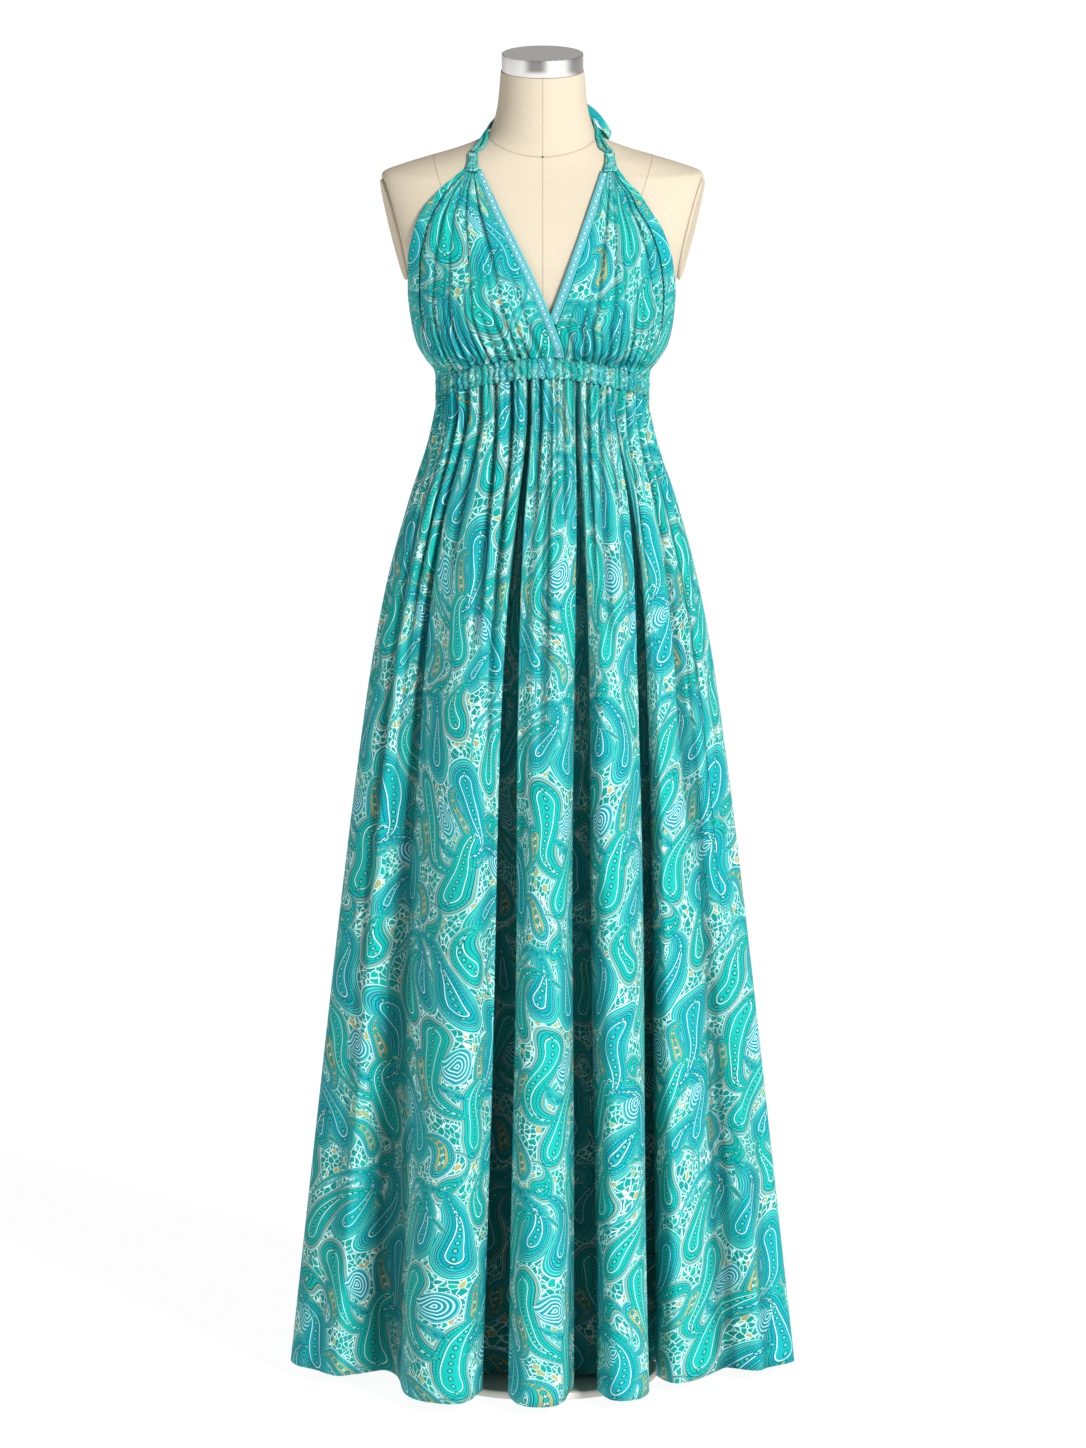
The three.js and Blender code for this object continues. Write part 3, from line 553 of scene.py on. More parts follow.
# The figures of the print's repeat, in millimetres: where the round end lies, the way that the
# tip points in degrees, length, half width as a share of the length, how far the tip curls in
# radians, and the kind: 0 green, 1 blue, 2 tan, 3 a whorl of echo lines
REPEAT = (204, 282)
FIGURES = Table(
    ("x", "y", "way", "length", "width", "curl", "kind"),
    (26, 40, 80, 138, 0.165, 1.7, 0),
    (84, 166, -84, 134, 0.16, 1.8, 1),
    (130, 30, 100, 130, 0.16, -1.7, 1),
    (180, 152, -100, 136, 0.165, -1.8, 0),
    (28, 190, 70, 108, 0.18, -1.6, 1),
    (134, 178, 84, 116, 0.17, 1.7, 0),
    (78, 238, 122, 78, 0.24, 1.9, 0),
    (182, 208, 62, 80, 0.23, -1.9, 1),
    (80, 16, 60, 70, 0.24, 1.8, 1),
    (184, 12, 112, 66, 0.20, -1.7, 2),
    (54, 118, 106, 60, 0.21, 1.4, 2),
    (156, 114, -64, 58, 0.22, 1.6, 2),
    (112, 120, 40, 40, 0.28, 1.7, 0),
    (6, 268, 20, 42, 0.28, -1.7, 0),
    (104, 76, 30, 24, 0.7, 0.6, 3),
    (12, 124, 200, 22, 0.7, 0.6, 3),
)
KIND_STEP = 1000.0

# How fast a figure narrows to its tip, how its curl grows, and how far the figures lean and bend
TAPER = 0.72
CURL_GROWTH = 1.4
LEAN = 250
BEND = 26

# Reach of the echo lines round a figure and the space between them
ECHO_REACH = 5.2
ECHO_SPACE = 3.0


def nearest_figure(nodes, cloth):
    """Distance in millimetres to the nearest figure, negative inside, and its own coordinates:
    x from the round end to the tip, y across, and in z its length plus its kind's step."""
    best = None
    chosen = None
    wide, high = REPEAT
    for x, y, way, length, width, curl, kind in FIGURES.rows():
        away = nodes.vector("SUBTRACT", cloth, (x, y, 0))
        near = nodes.vector("WRAP", away, (wide / 2, high / 2, 1), (-wide / 2, -high / 2, -1))
        frame_of = {
            "Vector": near,
            "Location": (0, 0, -length - KIND_STEP * kind),
            "Rotation": (0, 0, way * DEGREE),
            "Scale": (length, length, 1),
        }
        turned = nodes.add("ShaderNodeMapping", {"vector_type": "TEXTURE"}, frame_of)
        flat = nodes.stretch(turned, 1, 1, 0)
        curled = nodes.vector("DOT_PRODUCT", flat, flat) ** CURL_GROWTH * curl
        rotate = {"rotation_type": "Z_AXIS"}
        local = nodes.add("ShaderNodeVectorRotate", rotate, {"Vector": turned, "Angle": curled})
        along, across, _ = local.parts()
        inside = along.clamped()
        beyond = along - inside
        from_axis = (beyond * beyond + across * across) ** 0.5
        distance = (from_axis - (1 - inside) ** TAPER * width) * length
        if best is None:
            best, chosen = distance, local
        else:
            chosen = nodes.mix_vectors(distance < best, chosen, local)
            best = best.least(distance)
    return best, chosen


def of_kind(nodes, code, kind):
    """1 on figures of a kind, whose code is their length on top of the kind's step."""
    return nodes.band(code, KIND_STEP * (kind - 0.25), KIND_STEP * (kind + 0.75), 50)


def drawn_aside(nodes, cloth):
    """The place on the cloth, moved by slow noise so that the figures lean and bend by turns."""
    lean = nodes.noise_colour(nodes.stretch(cloth, 0.4, 1, 0), 0.005)
    cloth = nodes.vector("ADD", cloth, nodes.stretch(lean, LEAN, 0, 0))
    bend = nodes.vector("SUBTRACT", nodes.noise_colour(cloth, 0.012), (0.5, 0.5, 0.5))
    return nodes.vector("ADD", cloth, nodes.stretch(bend, BEND, BEND, 0))


def paint_ground(nodes, cloth, pale):
    """Small leaves of uneven size on a pale web."""
    c = colours()
    wander = nodes.stretch(nodes.noise_colour(cloth, 0.16), 5, 5, 0)
    cells = nodes.scale(nodes.vector("ADD", cloth, wander), 0.135)
    edge = nodes.add("ShaderNodeTexVoronoi", {"feature": "DISTANCE_TO_EDGE"}, {"Vector": cells, "Scale": 1.0})
    tint = nodes.add("ShaderNodeTexVoronoi", {}, {"Vector": cells, "Scale": 1.0}, output=1)
    shade, rare, _ = tint.parts()
    leaf = nodes.step(edge, shade * 0.06 + 0.005, shade * 0.06 + 0.045)
    leaf_colour = nodes.mix(nodes.step(shade, 0.5, 0.9), c.leaf, c.teal)
    leaf_colour = nodes.mix(nodes.step(rare, 0.9, 0.93), leaf_colour, c.tan)
    return nodes.mix(leaf, pale, leaf_colour)


def paint_print(nodes, cloth, quiet):
    """Colour of the paisley print at a place on the cloth. quiet from 0 to 1 mutes its pale parts."""
    c = colours()
    pale = nodes.mix(quiet, c.ground, c.aqua)
    cloth = drawn_aside(nodes, cloth)
    distance, local = nearest_figure(nodes, cloth)
    local_x, local_y, code = local.parts()
    length = code % KIND_STEP
    along = local_x * length
    across = local_y * length
    depth = -distance
    green, blue, tan, whorl = (of_kind(nodes, code, kind) for kind in range(4))
    colour = paint_ground(nodes, cloth, pale)

    # Thin pale echo lines round a figure, wide round the blue ones
    reach = blue * ECHO_REACH + ECHO_REACH
    echo = nodes.step(distance % ECHO_SPACE, 0.35, 0.6)
    tone = nodes.mix(nodes.step((distance * 0.8).sine(), -0.4, 0.4), c.teal, c.blue)
    echoes = nodes.mix(echo, nodes.mix(0.4, c.aqua, pale), tone)
    for outer, inner, ring in ((0.9, 0.6, c.line), (0.4, 0.1, pale), (-0.6, -0.9, echoes)):
        colour = nodes.mix(nodes.step(distance - reach, outer, inner), colour, ring)
    colour = nodes.mix(nodes.band(distance, 0.9, 2.0, 0.25) * green, colour, c.tan)

    # Rim of a figure: dark line, light band with beads, dark line
    fill = nodes.mix(tan, nodes.mix(blue, c.teal, c.blue), c.tan)
    colour = nodes.mix(nodes.step(depth, -0.3, 0.2), colour, c.line)
    colour = nodes.mix(nodes.step(depth, 1.0, 1.4), colour, c.aqua)
    stride = along % 3.4 - 1.7
    bead = (stride * stride + (depth - 2.6) * (depth - 2.6)) ** 0.5
    colour = nodes.mix(nodes.step(bead, 1.15, 0.75), colour, c.leaf)
    colour = nodes.mix(nodes.step(depth, 3.9, 4.2), colour, c.line)

    # Fill with slanting veins and a paler heart
    colour = nodes.mix(nodes.step(depth, 4.7, 5.0), colour, fill)
    veins = nodes.band((along - abs(across) * 1.3) % 5.2, 1.4, 2.5, 0.3)
    colour = nodes.mix(veins * nodes.step(depth, 5.2, 5.6) * 0.6, colour, c.aqua)
    colour = nodes.mix(nodes.band(depth, 8.8, 9.5, 0.2), colour, c.line)
    colour = nodes.mix(nodes.band(depth, 9.8, 10.9, 0.2), colour, pale)
    colour = nodes.mix(nodes.step(depth, 11.1, 11.5), colour, nodes.mix(0.35, fill, c.aqua))

    # Beads along the middle
    stride = along % 9.2 - 4.6
    bead = (stride * stride + across * across) ** 0.5
    row = nodes.step(depth, 5.2, 5.8)
    heart = nodes.mix(tan, c.tan, c.leaf)
    for outer, inner, ring in ((3.3, 2.9, c.line), (2.3, 1.9, c.aqua), (1.2, 0.9, heart)):
        colour = nodes.mix(nodes.step(bead, outer, inner) * row, colour, ring)

    # Whorls are echo lines to their middle
    rings = nodes.mix(nodes.step(depth % 4.2, 1.2, 1.7), nodes.mix(0.75, c.aqua, pale), c.blue)
    colour = nodes.mix(nodes.step(depth, -0.2, 0.2) * whorl, colour, rings)

    # The dye is a little uneven over the cloth
    cloudy = nodes.step(nodes.noise(cloth, 0.02, 2.0), 0.45, 0.7)
    return nodes.mix(cloudy * 0.3, colour, c.teal)


def weave(nodes, cloth, thread):
    """Relief from 0 to 1 of a plain weave: threads across and up, over and under by turns."""
    x, y, _ = nodes.scale(cloth, math.pi / thread).parts()
    return x.sine() * y.sine() * 0.5 + 0.5


def print_material(name, scale=1.0, quiet=0.0, offset=(0, 0, 0), gathered=1.0):
    """Printed cotton, with painted shade deep in its furrows. scale shrinks the repeat, gathered draws it
    together across the cloth, and offset moves it in millimetres."""
    nodes = Nodes(name)
    cloth = nodes.uv()
    place = nodes.stretch(cloth, scale * gathered, scale)
    colour = paint_print(nodes, nodes.vector("ADD", place, offset), quiet)
    painted_shade = nodes.add("ShaderNodeAttribute", {"attribute_name": "painted_shade"}, {}, output=2)
    # Painted shade: the print is darkened towards the shade colour deep in furrows and along the armhole
    # crease
    colour = nodes.mix(painted_shade * 0.5, colour, colours().shade)
    creases = nodes.noise(nodes.stretch(cloth, 0.05, 0.012), 1.0, 3.0, 0.55)
    height = creases * 0.8 + weave(nodes, cloth, 0.55) * 0.06
    return nodes.finish(colour, 0.75, height, 0.0014, **{"Specular IOR Level": 0.14})


def border_material():
    """Border print of the V: fine lines and a running row of small diamonds."""
    c = colours()
    nodes = Nodes("border_print")
    cloth = nodes.uv()
    x, y, _ = cloth.parts()
    pale = (0.16, 0.47, 0.53)
    deep = (0.005, 0.20, 0.29)
    side = abs(x - sizes().trim_width / 2)
    colour = nodes.mix(nodes.band(side, 3.4, 4.1, 0.15), pale, deep)
    colour = nodes.mix(nodes.step(side, 4.5, 4.9), colour, c.aqua)
    diamond = abs(y % 7.0 - 3.5) + side
    for outer, inner, ring in ((3.0, 2.6, deep), (2.0, 1.6, c.ground), (1.1, 0.8, c.teal)):
        colour = nodes.mix(nodes.step(diamond, outer, inner), colour, ring)
    ticks = nodes.band(y % 2.3, 0.6, 1.3, 0.2) * nodes.band(side, 2.5, 3.1, 0.15)
    colour = nodes.mix(ticks, colour, c.teal)
    return nodes.finish(colour, 0.7, weave(nodes, cloth, 0.5), 0.0001, **{"Specular IOR Level": 0.3})


# The neck's seam at the centre front, and the side seam where it meets the shoulder
NECK_SEAM_HEIGHT = 1450.5
SIDE_SEAM_X = 128


def linen_material():
    """Tight cream linen with a fine uneven weave and sewn seams."""
    nodes = Nodes("form_linen")
    place = nodes.scale(nodes.place(), 1000)
    x, y, z = place.parts()
    threads = nodes.noise(nodes.stretch(place, 0.35, 0.35, 2.6), 1.0, 2.0)
    cross = nodes.noise(nodes.stretch(place, 2.6, 2.6, 0.35), 1.0, 2.0)
    grain = threads * 0.5 + cross * 0.5
    colour = nodes.mix(nodes.step(grain, 0.35, 0.7), (0.58, 0.50, 0.38), (0.67, 0.59, 0.46))
    front_seam = nodes.step(abs(x), 0.75, 0.35)
    neck_line = z - NECK_SEAM_HEIGHT - (x * x) * 0.0036 - (y + 62) * 0.05
    neck_seam = nodes.step(abs(neck_line), 0.9, 0.4) * nodes.step(z, 1435, 1440)
    side_line = abs(x) + (z * -1 + 1449) * 0.35 - SIDE_SEAM_X
    side_seam = nodes.step(abs(side_line), 0.8, 0.4) * nodes.step(z, 1385, 1390) * nodes.step(z, 1452, 1448)
    seam = front_seam.most(neck_seam).most(side_seam)
    colour = nodes.mix(seam * 0.32, colour, (0.40, 0.31, 0.20))
    pin = (x * x + neck_line * neck_line) ** 0.5
    colour = nodes.mix(nodes.step(pin, 1.5, 1.1) * nodes.step(y, 0, -5), colour, (0.12, 0.08, 0.05))
    return nodes.finish(colour, 0.85, grain * 0.12 - seam, 0.0005, **{"Specular IOR Level": 0.25})


def steel_material():
    """Brushed steel, turned in circles on top, with broad soft dark streaks of painted reflection round its
    side.
    """
    nodes = Nodes("cap_steel")
    x, y, z = nodes.scale(nodes.place(), 1000).parts()
    radius = (x * x + (y + 7) * (y + 7)) ** 0.5
    rings = nodes.add("ShaderNodeCombineXYZ", {}, (radius * 3.0, 0.0, z * 3.5))
    turned = nodes.noise(rings, 1.0, 3.0, 0.6)
    bright = nodes.mix(turned, (0.70, 0.69, 0.67), (0.88, 0.87, 0.85))
    # Painted reflection: dark vertical bands round the side, standing in for dark surroundings mirrored in the
    # steel
    painted_reflection = nodes.step((x * 0.13 - 0.6).sine(), 0.6, -0.9) * nodes.step(radius, 46.2, 46.6)
    colour = nodes.mix(painted_reflection * 0.85, bright, (0.15, 0.14, 0.13))
    return nodes.finish(colour, turned * 0.16 + 0.24, turned, 0.00006, Metallic=0.6)


def paint_material(name, colour, roughness, metallic=0.0):
    """Powder coat or satin tube with a faint unevenness."""
    nodes = Nodes(name)
    speckle = nodes.noise(nodes.scale(nodes.place(), 1000), 0.9, 3.0)
    shade = nodes.mix(speckle, tuple(0.9 * v for v in colour), colour)
    return nodes.finish(shade, speckle * 0.1 + roughness, speckle, 0.0001, Metallic=metallic)


FINISHES = {
    "skirt": lambda: print_material("printed_cotton_skirt", 1.0, 0.0),
    "skirt_back": lambda: print_material("printed_cotton_back", 1.0, 0.0, (70, 40, 0)),
    "bodice": lambda: print_material("printed_cotton_bodice", 1.0, 0.25, (22, 96, 0)),
    "band": lambda: print_material("printed_cotton_band", 1.2, 0.3, (150, 30, 0), 2.6),
    "strap": lambda: print_material("strap_cotton", 2.2, 0.5, (40, 60, 0)),
    "border": border_material,
    "linen": linen_material,
    "steel": steel_material,
    "tube": lambda: paint_material("pole_steel", (0.62, 0.62, 0.61), 0.28, 1.0),
    "base": lambda: paint_material("base_paint", (0.74, 0.70, 0.62), 0.38),
}
MATERIALS = {}


def material(name):
    """The finish of that name, made once."""
    if name not in MATERIALS:
        MATERIALS[name] = FINISHES[name]()
    return MATERIALS[name]


# Meshes


def mesh_from_grid(name, points, across_map, up_map, closed=False):
    """A mesh from a grid of points in millimetres, rows down and columns across. The maps give the
    place on the flat cloth in metres. closed joins the last column to the first."""
    rows, columns = points.shape[:2]
    index = np.arange(rows * columns).reshape(rows, columns)
    if closed:
        index = np.hstack([index, index[:, :1]])
    corners = np.stack([index[:-1, :-1], index[1:, :-1], index[1:, 1:], index[:-1, 1:]], axis=-1)
    corners = corners.reshape(-1, 4)
    mesh = bpy.data.meshes.new(name)
    mesh.vertices.add(rows * columns)
    mesh.vertices.foreach_set("co", (points * MM).astype(np.float32).ravel())
    mesh.loops.add(corners.size)
    mesh.loops.foreach_set("vertex_index", corners.ravel().astype(np.int32))
    mesh.polygons.add(len(corners))
    mesh.polygons.foreach_set("loop_start", np.arange(0, corners.size, 4, dtype=np.int32))
    mesh.update(calc_edges=True)
    layer = mesh.uv_layers.new(name="cloth")
    flat = np.stack([across_map, up_map], axis=-1).reshape(-1, 2)
    layer.data.foreach_set("uv", flat[corners.ravel()].astype(np.float32).ravel())
    mesh.polygons.foreach_set("use_smooth", np.ones(len(corners), bool))
    return mesh


def put(name, mesh, finish):
    """Links a piece, gives it its finish and slot, and lets it stand for the CAD node of its name."""
    piece = bpy.data.objects.new(name, mesh)
    bpy.context.scene.collection.objects.link(piece)
    mesh.materials.append(material(finish))
    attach(piece, ROOT)
    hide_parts(name)
    return piece


def thicken(piece, thickness):
    """Gives a sheet its wall, on the inside of its faces."""
    wall = piece.modifiers.new("wall", "SOLIDIFY")
    wall.thickness = thickness * MM
    wall.offset = -1


def lengths(points, axis):
    """Distance along an axis of a grid from its start, in metres."""
    steps = np.linalg.norm(np.diff(points, axis=axis), axis=-1)
    start = np.zeros_like(np.take(steps, [0], axis=axis))
    return np.concatenate([start, np.cumsum(steps, axis=axis)], axis=axis) * MM


# Painted shade of the furrows: each furrow's reach in columns, with the depth in millimetres that is
# painted fully dark, and the painted shade of the crease beside an armhole band
FURROWS = ((3, 1.5), (7, 3.8), (18, 18.0))
CREASE_WIDTH = 1.7
CREASE_SHADE = 1.6


def painted_furrow_shade(points):
    """How deep each point lies in a furrow, from 0 to 1, by how far the cloth beside it stands out. It sets
    the painted shade of the furrows.
    """
    total = 0
    for reach, full_depth in FURROWS:
        beside = np.pad(points, ((0, 0), (reach, reach), (0, 0)), mode="edge")
        left, right = beside[:, : -2 * reach], beside[:, 2 * reach :]
        chord = right - left
        out = np.stack([chord[..., 1], -chord[..., 0]], axis=-1)
        out = out * np.sign((out * points[..., :2]).sum())
        stands = (((left + right) / 2 - points)[..., :2] * out).sum(-1) / np.linalg.norm(out, axis=-1)
        total = total + np.clip(stands / full_depth, 0, 1)
    return np.clip(total, 0, 1)


def cloth_piece(
    name, surface, grid, finish, middle=0.5, top_dense=1.0, gathered=0.0, creased=None
):
    """A sheet from surface(u, v), u across and v down. Its map is the length across from the column
    at middle, drawn towards that of the widest row where the cloth is gathered, and its height.
    The column named by creased gets the painted shade of a crease."""
    columns, rows = grid
    u, v = np.meshgrid(np.linspace(0, 1, columns + 1), np.linspace(0, 1, rows + 1) ** top_dense)
    points = surface(u, v)
    across = lengths(points, 1)
    across = across - across[:, [int(round(middle * columns))]]
    # Painted shade: how deep each point lies in a furrow, and the crease along the creased column, go to the
    # mesh as an attribute that darkens the print
    painted_shade = painted_furrow_shade(points)
    if creased is not None:
        aside = np.abs(across - across[:, [creased]])
        painted_shade = np.maximum(painted_shade, CREASE_SHADE * bump(aside, 0, CREASE_WIDTH * MM))
    widest = across[np.argmax(across[:, -1] - across[:, 0])]
    across = across + (widest - across) * gathered
    mesh = mesh_from_grid(name, points, across, points[..., 2] * MM)
    mesh.attributes.new("painted_shade", "FLOAT", "POINT").data.foreach_set("value", painted_shade.ravel())
    piece = put(name, mesh, finish)
    thicken(piece, sizes().cloth)
    return piece, points


# Shape of the cloth


def waist_centre(angle):
    """Height of the band's middle, which rises with the square of the cosine to the front."""
    s = sizes()
    return s.waist_height + s.waist_rise * np.maximum(0, np.cos(angle)) ** 2


def uneven_share(share):
    """Nudges the gathers along the waist, less towards the side seams."""
    wobble = 0.008 * np.sin(19 * share + 1) + 0.004 * np.sin(47 * share)
    return share + np.sin(share * math.pi) * wobble


def gather_wave(share, count):
    """Uneven gathers from -1.1 to 0.8: round ridges with sharp furrows between them."""
    turn = math.pi * count * share + 0.4 * np.sin(23 * share)
    ridge = 2 * np.sqrt(np.sin(turn) ** 2 + 0.008) - 1.2
    return (0.78 + 0.22 * np.sin(31 * share + 2)) * ridge


def seam_fade(u, rate=6):
    return np.minimum(1, np.sin(np.clip(u, 0, 1) * math.pi) * rate)


class Half:
    """Front or back of the dress, from side seam to side seam, with its own share of the sizes."""

    def __init__(self, name):
        s = sizes()
        self.front = name == "front"
        self.side = -1 if self.front else 1
        self.gathers = s.front_gathers if self.front else s.back_gathers
        self.waist_depth = s.waist_front if self.front else s.waist_back
        self.hem_depth = s.hem_front if self.front else s.hem_back

    def to_angle(self, share):
        """Angle from the centre front of a share of the half's width."""
        return (share + 0.5 * self.side) * math.pi


# Share of the skirt's width between two points that give its facing
BESIDE = 0.004

# Depths of the skirt's gathers as shares of the gather depth, and the shares of the height over
# which they fade. The pinches at the band and the drapes are in millimetres.
FINE_DEPTH = 1.6
FINE_FADE = 0.16
BROAD_DEPTH = 0.6
BROAD_START = 0.06
BROAD_END = 0.75
PINCH_DEPTH = 1.6
PINCH_FADE = 0.045
DRAPE_DEPTH = 1.6
TROUGH_GROWTH = 0.85


class SkirtHalf(Half):
    """Front or back of the skirt. A level section lies between the waist's oval and the hem's
    folds, by how far the side has spread at that height."""

    def __init__(self, name):
        super().__init__(name)
        self.folds = FRONT_FOLDS if self.front else BACK_FOLDS
        self.troughs = FRONT_TROUGHS if self.front else BACK_TROUGHS
        self.share = self.share_at(self.folds["waist_x"])
        angle = np.arctan2(self.folds["x"] / sizes().hem_half_width, -self.folds["y"] / self.hem_depth)
        self.hem_angle = np.where(angle < self.to_angle(0) - 0.5, angle + 2 * math.pi, angle)
        self.angles = Table(("share", "hem_angle"), *zip(self.share, self.hem_angle))

    def share_at(self, waist_x):
        turn = np.arcsin(np.clip(waist_x / sizes().waist_half_width, -1, 1))
        waist_angle = turn if self.front else math.pi - turn
        return (waist_angle - self.to_angle(0)) / math.pi

    def hem(self, share):
        """Point of the hem: cubic through the folds, with tangents along the hem's oval."""
        s = sizes()
        folds = self.folds
        i = np.clip(np.searchsorted(self.share, share, side="right") - 1, 0, len(self.share) - 2)
        step = np.clip((share - self.share[i]) / (self.share[i + 1] - self.share[i]), 0, 1)
        chord = np.hypot(folds["x"][i + 1] - folds["x"][i], folds["y"][i + 1] - folds["y"][i])
        along_x = s.hem_half_width * np.cos(self.hem_angle)
        along_y = self.hem_depth * np.sin(self.hem_angle)
        reach = folds["roundness"] / np.hypot(along_x, along_y)
        point = []
        for name, along in (("x", along_x * reach), ("y", along_y * reach)):
            column = folds[name]
            point.append(hermite(column[i], along[i] * chord, column[i + 1], along[i + 1] * chord, step))
        return point

    def section(self, share, height):
        s = sizes()
        half = SKIRT_SIDES.at("height", height, "half_width")
        spread = np.clip((half - s.waist_half_width) / (s.hem_half_width - s.waist_half_width), 0, 1)
        waist_angle = self.to_angle(share)
        hem_angle = self.angles.at("share", share, "hem_angle")
        hem_x, hem_y = self.hem(share)
        ring_x = s.hem_half_width * np.sin(hem_angle)
        ring_y = -self.hem_depth * np.cos(hem_angle)
        waist_x = s.waist_half_width * np.sin(waist_angle)
        waist_y = -self.waist_depth * np.cos(waist_angle)
        fold = spread**1.5
        x = waist_x + (ring_x - waist_x) * spread + (hem_x - ring_x) * fold
        y = waist_y + (ring_y - waist_y) * spread + (hem_y - ring_y) * fold
        return x, y

    def __call__(self, u, v):
        s = sizes()
        share = np.clip(uneven_share(u), 0, 1)
        top = waist_centre(self.to_angle(share)) - s.band_height / 2 - s.seam_gap
        height = top + (s.hem_height - top) * v
        x, y = self.section(share, height)
        before = self.section(np.maximum(share - BESIDE, 0), height)
        after = self.section(np.minimum(share + BESIDE, 1), height)
        facing_x = after[1] - before[1]
        facing_y = np.where((u == 0) | (u == 1), 0, before[0] - after[0])
        size = np.hypot(facing_x, facing_y)
        out = self.relief(u, v) * seam_fade(u) - self.trough(share, v)
        x = x + out * facing_x / size
        y = y + out * facing_y / size + self.side * s.seam_gap / 2
        return np.stack([x, y, height], axis=-1)

    def relief(self, u, v):
        """Fine gathers that fade from the waist, broader ones below them, and soft drapes."""
        s = sizes()
        fine = FINE_DEPTH * s.gather_depth * gather_wave(u, self.gathers) * np.exp(-v / FINE_FADE)
        rise = (1 - np.exp(-v / BROAD_START)) * np.maximum(0, 1 - v / BROAD_END)
        broad = BROAD_DEPTH * s.gather_depth * gather_wave(u + 0.25 / self.gathers, self.gathers / 2) * rise
        pinch = PINCH_DEPTH * np.cos(2 * math.pi * 2.6 * self.gathers * u + 2 * np.sin(13 * u))
        drape = DRAPE_DEPTH * np.sin(2 * math.pi * (11.3 * u + 1.2 * v)) * smooth(v * 3)
        return fine + broad + pinch * np.exp(-v / PINCH_FADE) + drape * np.sin(5 * u + 4 * v)

    def trough(self, share, v):
        """Depth of the narrow troughs: flat at the bottom with steep walls, and deeper downwards."""
        depth = 0 * v
        for waist_x, top, hem, width, fade in self.troughs.rows():
            middle = self.share_at(waist_x) + 0.004 * np.sin(5 * v + waist_x)
            deep = (top + (hem - top) * v**TROUGH_GROWTH) * smooth((fade - v) / (0.6 * fade))
            aside = (share - middle) / (width * (0.6 + 0.4 * smooth(v * 3)))
            depth = depth + deep * np.exp(-np.abs(aside) ** 3)
        return depth


# Elastic band, in millimetres: how far it puffs out, its gathers, how far the stitching draws it
# in, how uneven its edges are, and where the stitching lies as shares of its height
BAND_PUFF = 1.5
BAND_GATHER = 1.2
BAND_EDGE_GATHER = 1.6
BAND_FINE_GATHER = 1.9
BAND_STITCH = 0.9
BAND_RAGGED = 1.3
STITCH_ROWS = (0.3, 0.72)


class BandHalf(Half):
    """Front or back of the elastic band: a soft tube that its elastic pinches to narrow pleats,
    held down by two rows of stitching, with edges that the pleats make uneven."""

    def __call__(self, u, v):
        s = sizes()
        angle = self.to_angle(np.clip(uneven_share(u), 0, 1))
        slip = u + 0.002 * np.sin(9 * v + 40 * u)
        near_edge = np.abs(2 * v - 1) ** 3
        gather = (BAND_GATHER + BAND_EDGE_GATHER * near_edge) * gather_wave(slip, self.gathers)
        gather = gather + BAND_FINE_GATHER * gather_wave(slip + 0.2, 2.3 * self.gathers)
        ragged = gather_wave(slip + 0.1, 3.1 * self.gathers) + 0.7 * gather_wave(slip, self.gathers)
        stitched = sum(bump(v, row, 0.06) for row in STITCH_ROWS)
        puff = BAND_PUFF * np.sin(v * math.pi) ** 0.6 + 1.2 * np.exp(-v / 0.1)
        out = puff + gather * seam_fade(u) * (1 - 0.3 * stitched) - BAND_STITCH * stitched
        x = (s.waist_half_width + out) * np.sin(angle)
        y = -(self.waist_depth + out) * np.cos(angle) + self.side * s.seam_gap / 2
        z = waist_centre(angle) + s.band_height * (0.5 - v) * 1.06
        return np.stack([x, y, z + BAND_RAGGED * ragged * near_edge * seam_fade(u)], axis=-1)


def oval(angle, half_width, front, back, square):
    """Point of an oval of the given squareness, at an angle from the centre front."""
    sine, cosine = np.sin(angle), np.cos(angle)
    power = 2 / square
    depth = np.where(cosine > 0, front, back)
    x = half_width * np.sign(sine) * np.abs(sine) ** power
    y = -depth * np.sign(cosine) * np.abs(cosine) ** power
    return x, y


# The round of the bust: how far it lifts the cloth, where its middle is and how far it spreads
BUST_LIFT = 15
BUST_X = 74
BUST_HEIGHT = 1276
BUST_SPREAD = 46


def bodice_angle(x, height):
    """Angle on the bodice's oval of the point at x."""
    half = BODICE.at("height", height, "half_width")
    square = BODICE.at("height", height, "square")
    return np.sign(x) * np.arcsin(np.clip(np.abs(x) / half, 0, 1) ** (square / 2))


def bodice_point(angle, height, lift):
    """Point of the bodice: its oval, lifted by the round of the bust and then by lift."""
    angle = np.clip(angle, -math.pi / 2, math.pi / 2)
    half, front, square = BODICE.section("height", height)
    x, y = oval(angle, half, front, front, square)
    away = ((np.abs(x) - BUST_X) / BUST_SPREAD) ** 2 + ((height - BUST_HEIGHT) / BUST_SPREAD) ** 2
    out = BUST_LIFT * np.exp(-away) + lift
    x = x + out * np.sin(angle) * 0.55
    y = y - out * np.abs(np.cos(angle)) ** 0.7
    return np.stack([x, y, height + 0 * x], axis=-1)


def arm_x(side, height):
    return SIDE_SIGN[side] * ARM_EDGES.at("height", height, side)


def neck_x(side, height):
    return NECK_EDGES.at("height", height, side)


def trim_at(height):
    """Width of the neck trim, which narrows towards the tab."""
    s = sizes()
    return s.trim_width - 4 * np.clip((height - s.tab_height + 45) / 45, 0, 1)


def trim_outer_x(side, height):
    if side == "left":
        return neck_x("left", height) - trim_at(height)
    return np.maximum(neck_x("right", height) + trim_at(height), neck_x("left", height) + sizes().seam_gap)


def arm_strip(height):
    s = sizes()
    return s.arm_band_width * np.clip((s.tab_height + 18 - height) / 60, 0.3, 1)


def band_top_at(x):
    s = sizes()
    turn = np.arcsin(np.clip(x / s.waist_half_width, -1, 1))
    return waist_centre(turn) + s.band_height / 2 + 2 * s.seam_gap


